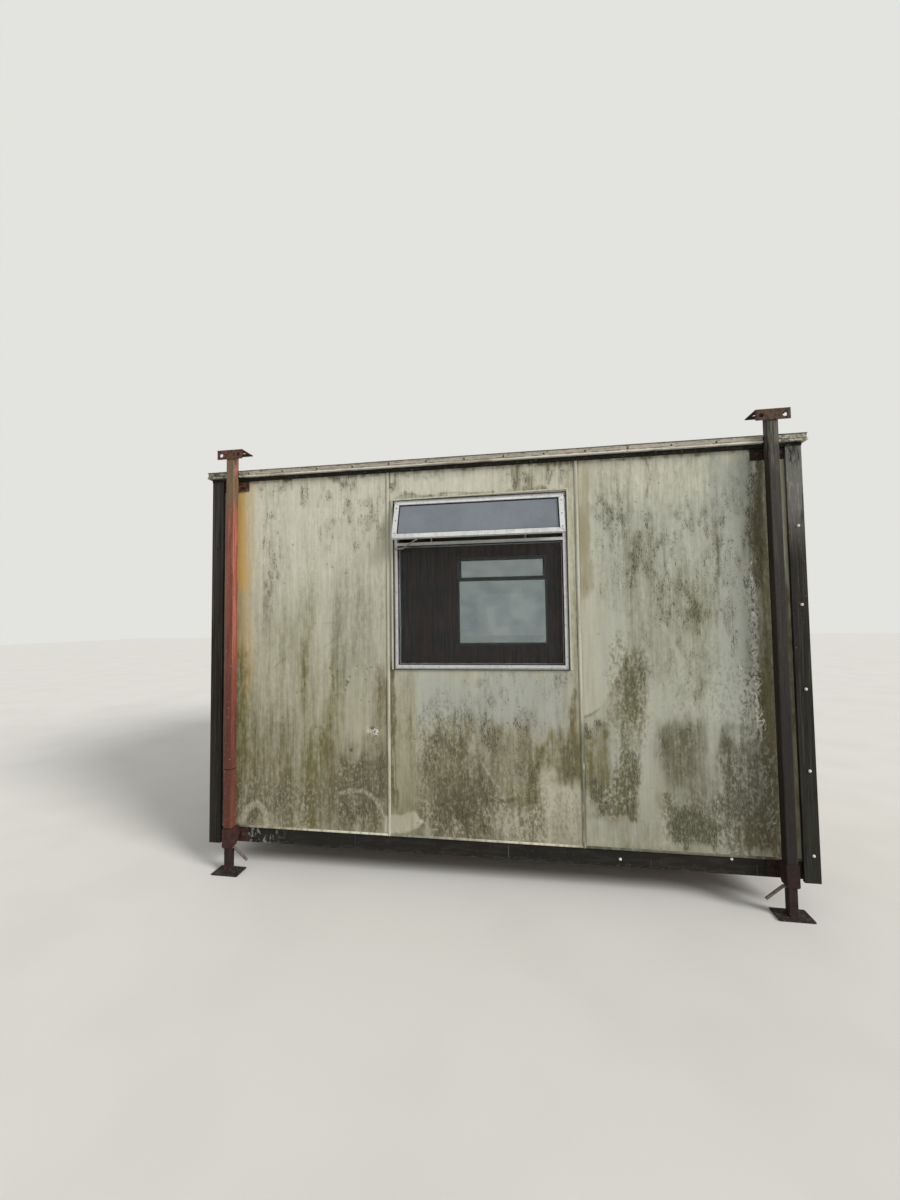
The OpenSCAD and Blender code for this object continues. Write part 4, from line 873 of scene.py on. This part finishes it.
def addSheet(name, side, x0, x1, z0, z1, hole, seed):
    right, out = wallSides[side]
    lip, pitch = cladding["lip"] * mm, cladding["pitch"][side] * mm
    holes = [hole] if hole else []
    edges = [x0 + lip, x1 - lip, *(hole or ())[:2]]
    heights = [z0 + lip, z1 - lip, *(hole or ())[2:]]
    x, z, quads = holedGrid(gridLines(x0, x1, pitch, edges), gridLines(z0, z1, pitch, heights), holes)
    noise = {kind: sum(weight * wallNoise(x, z, cell, seed + own) for weight, cell, own in parts)
             for kind, parts in sheetNoise.items()}
    # Depth behind the face: slow waves, a rolled edge, and the knocks
    depth = cladding["wave"] * mm * noise["waves"]
    fromEdge = np.minimum.reduce([x - x0, x1 - x, z - z0, z1 - z])
    depth += cladding["roll"] * mm * (1 - eased(fromEdge, 0, cladding["rollWidth"] * mm))
    if side == "front":
        layers = frontWeatherAndShadow(x, z, seed)
        for place in frontKnocks:
            depth += cladding["dent"] * mm * knock(x, z, place, 0, 1.8)
    else:
        layers = plainWeather(x, z, seed, z1)
    # Darker beside the joint strips
    near, far = (v * mm for v in cladding["seamDark"])
    layers["black"] = np.maximum(layers["black"], 0.5 * (1 - eased(np.minimum(x - x0, x1 - x), near, far)))
    corner = np.array(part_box(side + "_sheets")[0 if out.sum() < 0 else 1])
    wall = abs(float(np.dot(corner, np.abs(out))))
    points = x[:, None] * right + (wall - depth)[:, None] * out + z[:, None] * np.array([0, 0, 1.0])
    piece = addPiece(name, (points, [quads]), claddingCoat, replaces=[side + "_sheets"],
                     thick=cladding["thick"])

    # Rain tracks thin the grime in one place and thicken it in the next
    tracks, blots = noise["tracks"], noise["blots"]
    wiped = layers["wiped"] * (0.75 + 0.4 * blots)
    # Algae and mould have a little everywhere, more of the algae low down and less on the blue chalk
    everywhere = {"olive": (0.08 + 0.32 * eased(z, 2.3, 0.9)) * (1 - layers["blue"]) * eased(tracks, 0.45, 0.8),
                  "mould": 0.14 + 0.26 * eased(blots, 0.45, 0.8)}
    dirtAndShadow = {name: np.clip(layers[name] * (least + gain * noise[kind]) + everywhere.get(name, 0), 0, 1)
            * (1 - np.clip(0.95 * wiped, 0, 1)) for name, (kind, least, gain) in grimeAndShadowNoise.items()}
    # Paler high up and darker low down: partly grime, partly painted sunlight and painted shade
    paleAndLit = np.interp(z, paleAndLitHeights, paleAndLitLevels) - 0.35 * (tracks - 0.5)
    paleAndLit = np.clip(paleAndLit + (np.maximum(paleAndLit, 0.55) - paleAndLit) * np.clip(wiped, 0, 1), 0, 1)
    for title, channels in {
        "film": (dirtAndShadow["olive"], dirtAndShadow["brown"], dirtAndShadow["ochre"]),
        "marks": (dirtAndShadow["mould"], layers["black"] * (1 - 0.6 * wiped), layers["flake"]),
        "tone": (paleAndLit, layers["blue"] * 0.9, layers["tan"] * (0.5 + 0.7 * tracks)),
    }.items():
        values = np.stack([*channels, dirtAndShadow["grey"]], 1).astype(np.float32)
        piece.data.attributes.new(title, "FLOAT_COLOR", "POINT").data.foreach_set("color", values.ravel())


def windowHole(side):
    low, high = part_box(side + "_window_frame")
    lap = cladding["frameLap"] * mm
    x0, x1 = (low.x, high.x) if side == "front" else (-high.x, -low.x)
    return x0 + lap, x1 - lap, low.z + lap, high.z - lap


def addCladding():
    low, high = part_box("front_sheets")
    doorLow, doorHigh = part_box("door_frame")
    door = (doorLow.y, doorHigh.y, doorLow.z - cladding["doorFoot"] * mm, doorHigh.z)
    holes = {"front": windowHole("front"), "back": windowHole("back"), "left": None, "right": door}
    for order, (side, hole) in enumerate(holes.items()):
        names = ("Left", "Middle", "Right") if order < 2 else ("First", "Middle", "Last")
        for number, (name, (x0, x1)) in enumerate(zip(names, sheetSpans(side))):
            addSheet(side + "Sheet" + name, side, x0, x1, low.z, high.z, hole if number == 1 else None,
                     40 + 100 * order + 30 * number)


makeCamera()
makeStudio()
addCladding()
print("cladding made")


# The window in each long side: its middle and sill in mm, and its frame's half width and height
windows = {"front": -12.0, "back": 15.0, "sill": 1343.0, "half": 555, "height": 1110}
# The open vent: a point given as on the closed sash, in mm, is turned about the top edge
vent = {"angle": 20.0, "hingeY": -10.3, "top": 1082.0, "height": 263.0}
ventTurn = math.radians(vent["angle"])
ventOut = (0, -math.cos(ventTurn), math.sin(ventTurn))


def ventPlace(x, y, z):
    drop = z - vent["height"]
    back = y * math.cos(ventTurn) + drop * math.sin(ventTurn) + vent["hingeY"]
    up = vent["top"] - y * math.sin(ventTurn) + drop * math.cos(ventTurn)
    return (windows["front"] + x) * mm, back * mm - longFace, (windows["sill"] + up) * mm


# Small fixings: profiles are (radius, height, hexShare) in mm. Places across and up are in mm, and the faces that
# they stand on are in metres from the middle
fixings = {
    "hexBolt": [(0, 0), (15, 0), (15.5, 1), (15, 2.6), (12, 3, 1), (12, 11, 1), (11, 13.4, 0.2), (8, 13.6), (8, 18),
                (7, 19.5), (0, 19.5)],
    "cap": [(0, 0), (8.6, 0), (9, 1.2), (8.4, 3.8), (6.4, 6.2), (3.4, 7.4), (0, 7.7)],
    "nail": [(0, 0), (6, 0), (6, 0.8), (4, 1.8), (0, 2.1)],
    "screw": [(0, 0), (4.2, 0), (4.2, 0.4), (3.0, 1.2), (1.2, 1.3), (1.0, 0.6), (0, 0.5)],
    "boltFromLeg": 60, "boltRows": ((1.408, 2.613), (1.396, 0.222)),
    "capHeights": (316, 784, 1242, 1723, 2179), "capX": 1845, "boardFace": 1.42,
    "railCaps": ((814, 215), (1432, 258)), "railFace": 1.388,
    "sideNails": (-1.845, 1.86, 0.251), "endNails": (-1.38, 1.39, 0.23), "nailHeight": 2693,
    "trimFaces": (1.441, 1.901), "legX": 1.704, "legGap": 0.05,
    "stileX": 526, "stileY": -19, "stileHeights": (36, 130, 224),
    "doorFace": 1.8632, "hingeY": 0.3825, "hingeHeights": (0.547, 1.3075, 2.068),
    "hingeScrews": ((-14, 14), (-38, 0, 38)), "handleY": -0.326, "handleHeights": (1.226, 1.37),
}


def addFixings():
    bolt = revolved(fixings["hexBolt"], 24)
    cap, nail, screw = (revolved(fixings[kind], 12) for kind in ("cap", "nail", "screw"))
    bolts, caps, heads, nails = [], [], [], []
    nailZ = fixings["nailHeight"] * mm
    trimY, trimX = fixings["trimFaces"]
    for a, sy in (("front", -1), ("back", 1)):
        for b, sx in (("left", -1), ("right", 1)):
            legLow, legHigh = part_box(f"{a}_{b}_outer_leg")
            middle = (legLow.x + legHigh.x) / 2
            for s in (-1, 1):
                for y, z in fixings["boltRows"]:
                    bolts.append(turned(bolt, (middle + s * fixings["boltFromLeg"] * mm, sy * y, z), (0, sy, 0)))
            # White caps stand on the front right and back left boards, bare heads on the other two
            shape, heap = (cap, caps) if sx * sy < 0 else (nail, heads)
            for z in fixings["capHeights"]:
                heap.append(turned(shape, (sx * fixings["capX"] * mm, sy * fixings["boardFace"], z * mm), (0, sy, 0)))
        for x, z in fixings["railCaps"]:
            caps.append(turned(cap, (-sy * x * mm, sy * fixings["railFace"], z * mm), (0, sy, 0)))
        for x in np.arange(*fixings["sideNails"]):
            if abs(abs(x) - fixings["legX"]) > fixings["legGap"]:
                nails.append(turned(nail, (x, sy * trimY, nailZ), (0, sy, 0)))
    for sx in (-1, 1):
        for y in np.arange(*fixings["endNails"]):
            nails.append(turned(nail, (sx * trimX, y, nailZ), (sx, 0, 0)))
    addPiece("bracketBolts", joined(bolts), bracketRust)
    addPiece("boltCaps", joined(caps), capPlastic)
    addPiece("boardScrews", joined(heads), nailSteel)
    addPiece("trimNails", joined(nails), nailSteel)

    # Screws down both stiles of the open vent, and in the hinges and the handle plate of the door
    stiles = [turned(screw, ventPlace(s * fixings["stileX"], fixings["stileY"], z), ventOut)
              for s in (-1, 1) for z in fixings["stileHeights"]]
    addPiece("sashScrews", joined(stiles), nailSteel)
    across, up = fixings["hingeScrews"]
    spots = [(fixings["hingeY"] + a * mm, z + b * mm) for z in fixings["hingeHeights"] for a in across for b in up]
    spots += [(fixings["handleY"], z) for z in fixings["handleHeights"]]
    hardware = [turned(screw, (fixings["doorFace"], y, z), (1, 0, 0)) for y, z in spots]
    addPiece("doorScrews", joined(hardware), doorSteel)


# Rubber and mastic round the panes and frames: profiles of (side, out) and loops of (half width, low, high), in mm
# from the window's middle and sill. Places out are from the wall's face
seals = {
    "rubber": [(-3.2, -1.8), (3.2, -1.8), (3.2, 0.2), (1.8, 1.8), (-1.8, 1.8), (-3.2, 0.2)],
    "mastic": [(-0.5, -2.5), (4.4, -2.5), (4.0, 0.5), (2.0, 2.8), (-0.5, 3.0)],
    "lowerPane": (529.8, 31.2, 805.8), "lowerOut": -10.4, "ventPane": (507.8, 33.2, 245.8), "ventOut": 11.2,
    "masticOut": 7.7,
}


def windowLoop(side, half, low, high, out):
    # The corners of an upright loop round a window, turning the same way seen from outside
    sy = -1 if side == "front" else 1
    corners = [(-half, low), (half, low), (half, high), (-half, high)]
    y = sy * (longFace + out * mm)
    path = [((windows[side] + x) * mm, y, (windows["sill"] + z) * mm) for x, z in corners]
    return path[::-sy], (0, sy, 0)


def addSeals():
    rubber, mastic = (np.array(seals[k]) * mm for k in ("rubber", "mastic"))
    half, low, high = seals["ventPane"]
    closedSill = vent["top"] - vent["height"]
    slanted = [ventPlace(x, -seals["ventOut"], z) for x, z in ((-half, low), (half, low), (half, high), (-half, high))]
    loops = [windowLoop(side, *seals["lowerPane"], seals["lowerOut"]) for side in ("front", "back")]
    loops.append((slanted, ventOut))
    loops.append(windowLoop("back", half, closedSill + low, closedSill + high, seals["ventOut"] - vent["hingeY"]))
    strips = [swept(rubber, path, out, closed=True) for path, out in loops]
    addPiece("windowGaskets", joined(strips), gasketRubber, smooth=False)
    # Blackened mastic in the corner between each frame and its surround
    loops = [windowLoop(side, windows["half"], 0, windows["height"], seals["masticOut"]) for side in ("front", "back")]
    rounds = [swept(mastic, path, out, closed=True) for path, out in loops]
    addPiece("frameMastic", joined(rounds), gasketRubber, smooth=False)


# Mitres: the ends (half width, height) of each joint line, in mm, on the fixed frame and on the vent sash
mitres = {
    "radius": 0.7, "frameFace": -1.4101, "frame": (((547, 8), (533, 28)), ((547, 1102), (533, 1074))),
    "sashFace": -19.1, "sash": (((541, 0), (511, 30)), ((541, 263), (511, 249))),
}


def addMitres():
    # Dark joint lines across the corners of the frames, as fine raised hairs of dirt
    hair = roundProfile(mitres["radius"] * mm, 6)
    lines = []
    for s in (-1, 1):
        for ends in mitres["frame"]:
            path = [((windows["front"] + s * x) * mm, mitres["frameFace"], (windows["sill"] + z) * mm) for x, z in ends]
            lines.append(swept(hair, path, (0, -1, 0)))
        for ends in mitres["sash"]:
            lines.append(swept(hair, [ventPlace(s * x, mitres["sashFace"], z) for x, z in ends], ventOut))
    addPiece("frameMitres", joined(lines), gasketRubber)


# Weld beads: a round profile carried round the tube, swelling every few millimetres. Sizes are in mm
welds = {
    "head": 3.2, "foot": 3.6, "joint": 2.6, "ripple": 0.16, "ripplePitch": 7.0, "step": 2.4, "cornerReach": 1.28,
    "jointHeights": (680, 293), "innerHalf": 22.5, "footHeight": 12, "gap": 0.5, "headDrop": 2,
}


def weldLoop(centre, half, z, radius):
    side = np.arange(-half, half, welds["step"] * mm)
    flat = np.full_like(side, half)
    loop = np.concatenate([np.stack(pair, 1) for pair in ((side, -flat), (flat, side), (-side, flat), (-flat, -side))])
    # Corners are pulled in to the tube's rounding
    reach = np.linalg.norm(loop, axis=1)
    loop *= (np.minimum(reach, half * welds["cornerReach"]) / reach)[:, None]
    path = np.column_stack([loop + np.array(centre), np.full(len(loop), z)])
    length = np.arange(len(path)) * welds["step"]
    swell = 1 + welds["ripple"] * np.sin(2 * np.pi * length / welds["ripplePitch"])
    return swept(roundProfile(radius * mm), path, (0, 0, 1.0), closed=True, swell=swell)


def addWelds():
    heads, rings = [], []
    for a in ("front", "back"):
        for b in ("left", "right"):
            leg = f"{a}_{b}"
            low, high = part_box(leg + "_outer_leg")
            middle, half = ((low.x + high.x) / 2, (low.y + high.y) / 2), (high.x - low.x) / 2
            heads.append(weldLoop(middle, half + welds["gap"] * mm, high.z - welds["headDrop"] * mm, welds["head"]))
            foot = weldLoop(middle, (welds["innerHalf"] + welds["gap"]) * mm, welds["footHeight"] * mm, welds["foot"])
            addPiece(leg.replace("_l", "L").replace("_r", "R") + "FootWeld", foot, innerTube, body=leg + "_leg")
            if leg == "front_left":
                rings = [weldLoop(middle, half, z * mm, welds["joint"]) for z in welds["jointHeights"]]
    addPiece("headWelds", joined(heads), rustedSteel)
    addPiece("legJointWeld", joined(rings), chassisPaint)


# A folded metal lip under each cladding sheet. The profile is (out, up) in mm, the height in metres
dripEdge = {"lip": [(-1.5, -6), (2.2, -6), (2.8, -5), (1.6, 4), (0.4, 7), (-1.5, 7)], "height": 0.2795}


def addDripEdge():
    strips = []
    for side, (right, out) in wallSides.items():
        wall = longFace if side in ("front", "back") else endFace
        for span in sheetSpans(side):
            ends = [right * x + out * wall + np.array([0, 0, dripEdge["height"]]) for x in span]
            strips.append(swept([(-b * mm, a * mm) for a, b in dripEdge["lip"]][::-1], ends, out))
    addPiece("dripEdge", joined(strips), stripPaint)


# Roof felt: laid in lapped widths along the cabin, with clout nails at the laps. Thicknesses
# and the notches round the legs are in mm, laps and nails in metres
felt = {
    "pitch": 45, "thick": 3, "lap": 3.0, "laps": (-0.92, -0.18, 0.56), "lapEase": (0.05, 0.6), "wave": 1.4,
    "wrinkle": (300, 180), "fall": 35, "underTop": 3.2, "notchReach": 34.5, "notchEdge": 1.422,
    "notchEnd": 1.6, "seed": 77, "nailPitch": 0.15, "nailIn": 0.022, "nailEnd": 1.8,
}


def feltHeight(x, y):
    # The roof's fall, plus a step at each lap that eases off over the width, plus slow wrinkles
    low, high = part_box("roof_covering")
    fall = high.z - felt["underTop"] * mm - felt["fall"] * mm * np.abs(y) / high.y
    step = np.zeros_like(y)
    for lap in felt["laps"]:
        start, end = (lap + reach for reach in felt["lapEase"])
        step = np.maximum(step, np.where(y >= lap, 1 - eased(y, start, end), 0))
    return fall + felt["lap"] * mm * step + felt["wave"] * mm * (wallNoise(x, y, felt["wrinkle"], felt["seed"]) - 0.5)


def addFelt():
    low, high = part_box("roof_covering")
    legX, reach, edge, end = fixings["legX"], felt["notchReach"] * mm, felt["notchEdge"], felt["notchEnd"]
    holes = [(s * legX - reach, s * legX + reach, y0, y1) for s in (-1, 1) for y0, y1 in ((-end, -edge), (edge, end))]
    linesX = [s * legX + t * reach for s in (-1, 1) for t in (-1, 1)]
    linesY = [-edge, edge, 0] + [lap + d for lap in felt["laps"] for d in (-1 * mm, 0)]
    pitch = felt["pitch"] * mm
    x, y, quads = holedGrid(gridLines(low.x, high.x, pitch, linesX), gridLines(low.y, high.y, pitch, linesY), holes)
    points = np.stack([x, y, feltHeight(x, y)], 1)
    addPiece("roofFeltSheet", (points, [quads]), roofFelt, replaces=["roof_covering"],
             thick=felt["thick"])
    nail = revolved(fixings["nail"], 8)
    row = np.arange(-felt["nailEnd"], felt["nailEnd"] + 0.01, felt["nailPitch"])
    x, y = (grid.ravel() for grid in np.meshgrid(row, np.array(felt["laps"]) + felt["nailIn"]))
    nails = [turned(nail, place, (0, 0, 1)) for place in zip(x, y, feltHeight(x, y))]
    addPiece("feltNails", joined(nails), nailSteel)


addFixings()
addSeals()
addMitres()
addWelds()
addDripEdge()
addFelt()
print("fixings, gaskets, welds, lips and felt made")


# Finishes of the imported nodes. The pins and the inner legs have their own, below
nodeFinishes = {name: finish for finish, names in (
    (chassisPaint, "chassis_frame"), (joistTimber, "floor_joists"), (deckPlywood, "floor_deck"),
    (liningPlywood, "front_wall back_wall left_wall right_wall"), (ceilingBoard, "roof_panel"),
    (stripPaint, "seam_strips window_surrounds"), (boardStain, "side_corner_boards end_corner_boards door_frame"),
    (fasciaStainAndShade, "roof_fascia"), (trimMetal, "roof_trim"),
    (windowAluminium, "front_window_frame front_vent_sash back_window_frame back_vent_sash"),
    (lowerGlass, "front_window_glass"), (ventGlassAndReflection, "front_vent_glass"), (farGlass, "back_glass"),
    (stayMetal, "front_vent_stay"), (doorPaint, "door_leaf"), (doorSteel, "door_hardware"),
    (redOxide, "front_left_outer_leg back_right_outer_leg"), (darkPaint, "front_right_outer_leg back_left_outer_leg"),
    (rustedSteel, "leg_heads"), (bracketRust, "top_brackets bottom_brackets"),
) for name in names.split()}
for name, node in nodes.items():
    finish = nodeFinishes.get(name) or (pinSteel if name.endswith("_pin") else innerTube)
    node.data.materials.clear()
    node.data.materials.append(finish)
print("finishes set")


def addFloor():
    # Pale studio floor: one large flat grid
    lines = np.linspace(-studio["floorSize"] / 2, studio["floorSize"] / 2, studio["floorLines"])
    x, y = (grid.ravel() for grid in np.meshgrid(lines, lines))
    mesh = bpy.data.meshes.new("floor")
    quads = gridFaces(len(lines), len(lines))[:, ::-1]
    mesh.from_pydata(np.stack([x, y, 0 * x], 1).tolist(), [], quads.tolist())
    floor = bpy.data.objects.new("floor", mesh)
    bpy.context.scene.collection.objects.link(floor)
    paint = layeredFinish("studioFloor", studio["floor"], [("#D2D0C9", 0.4, 900, (0.4, 0.7))], 0.9, relief=0.1)
    mesh.materials.append(paint)


addFloor()
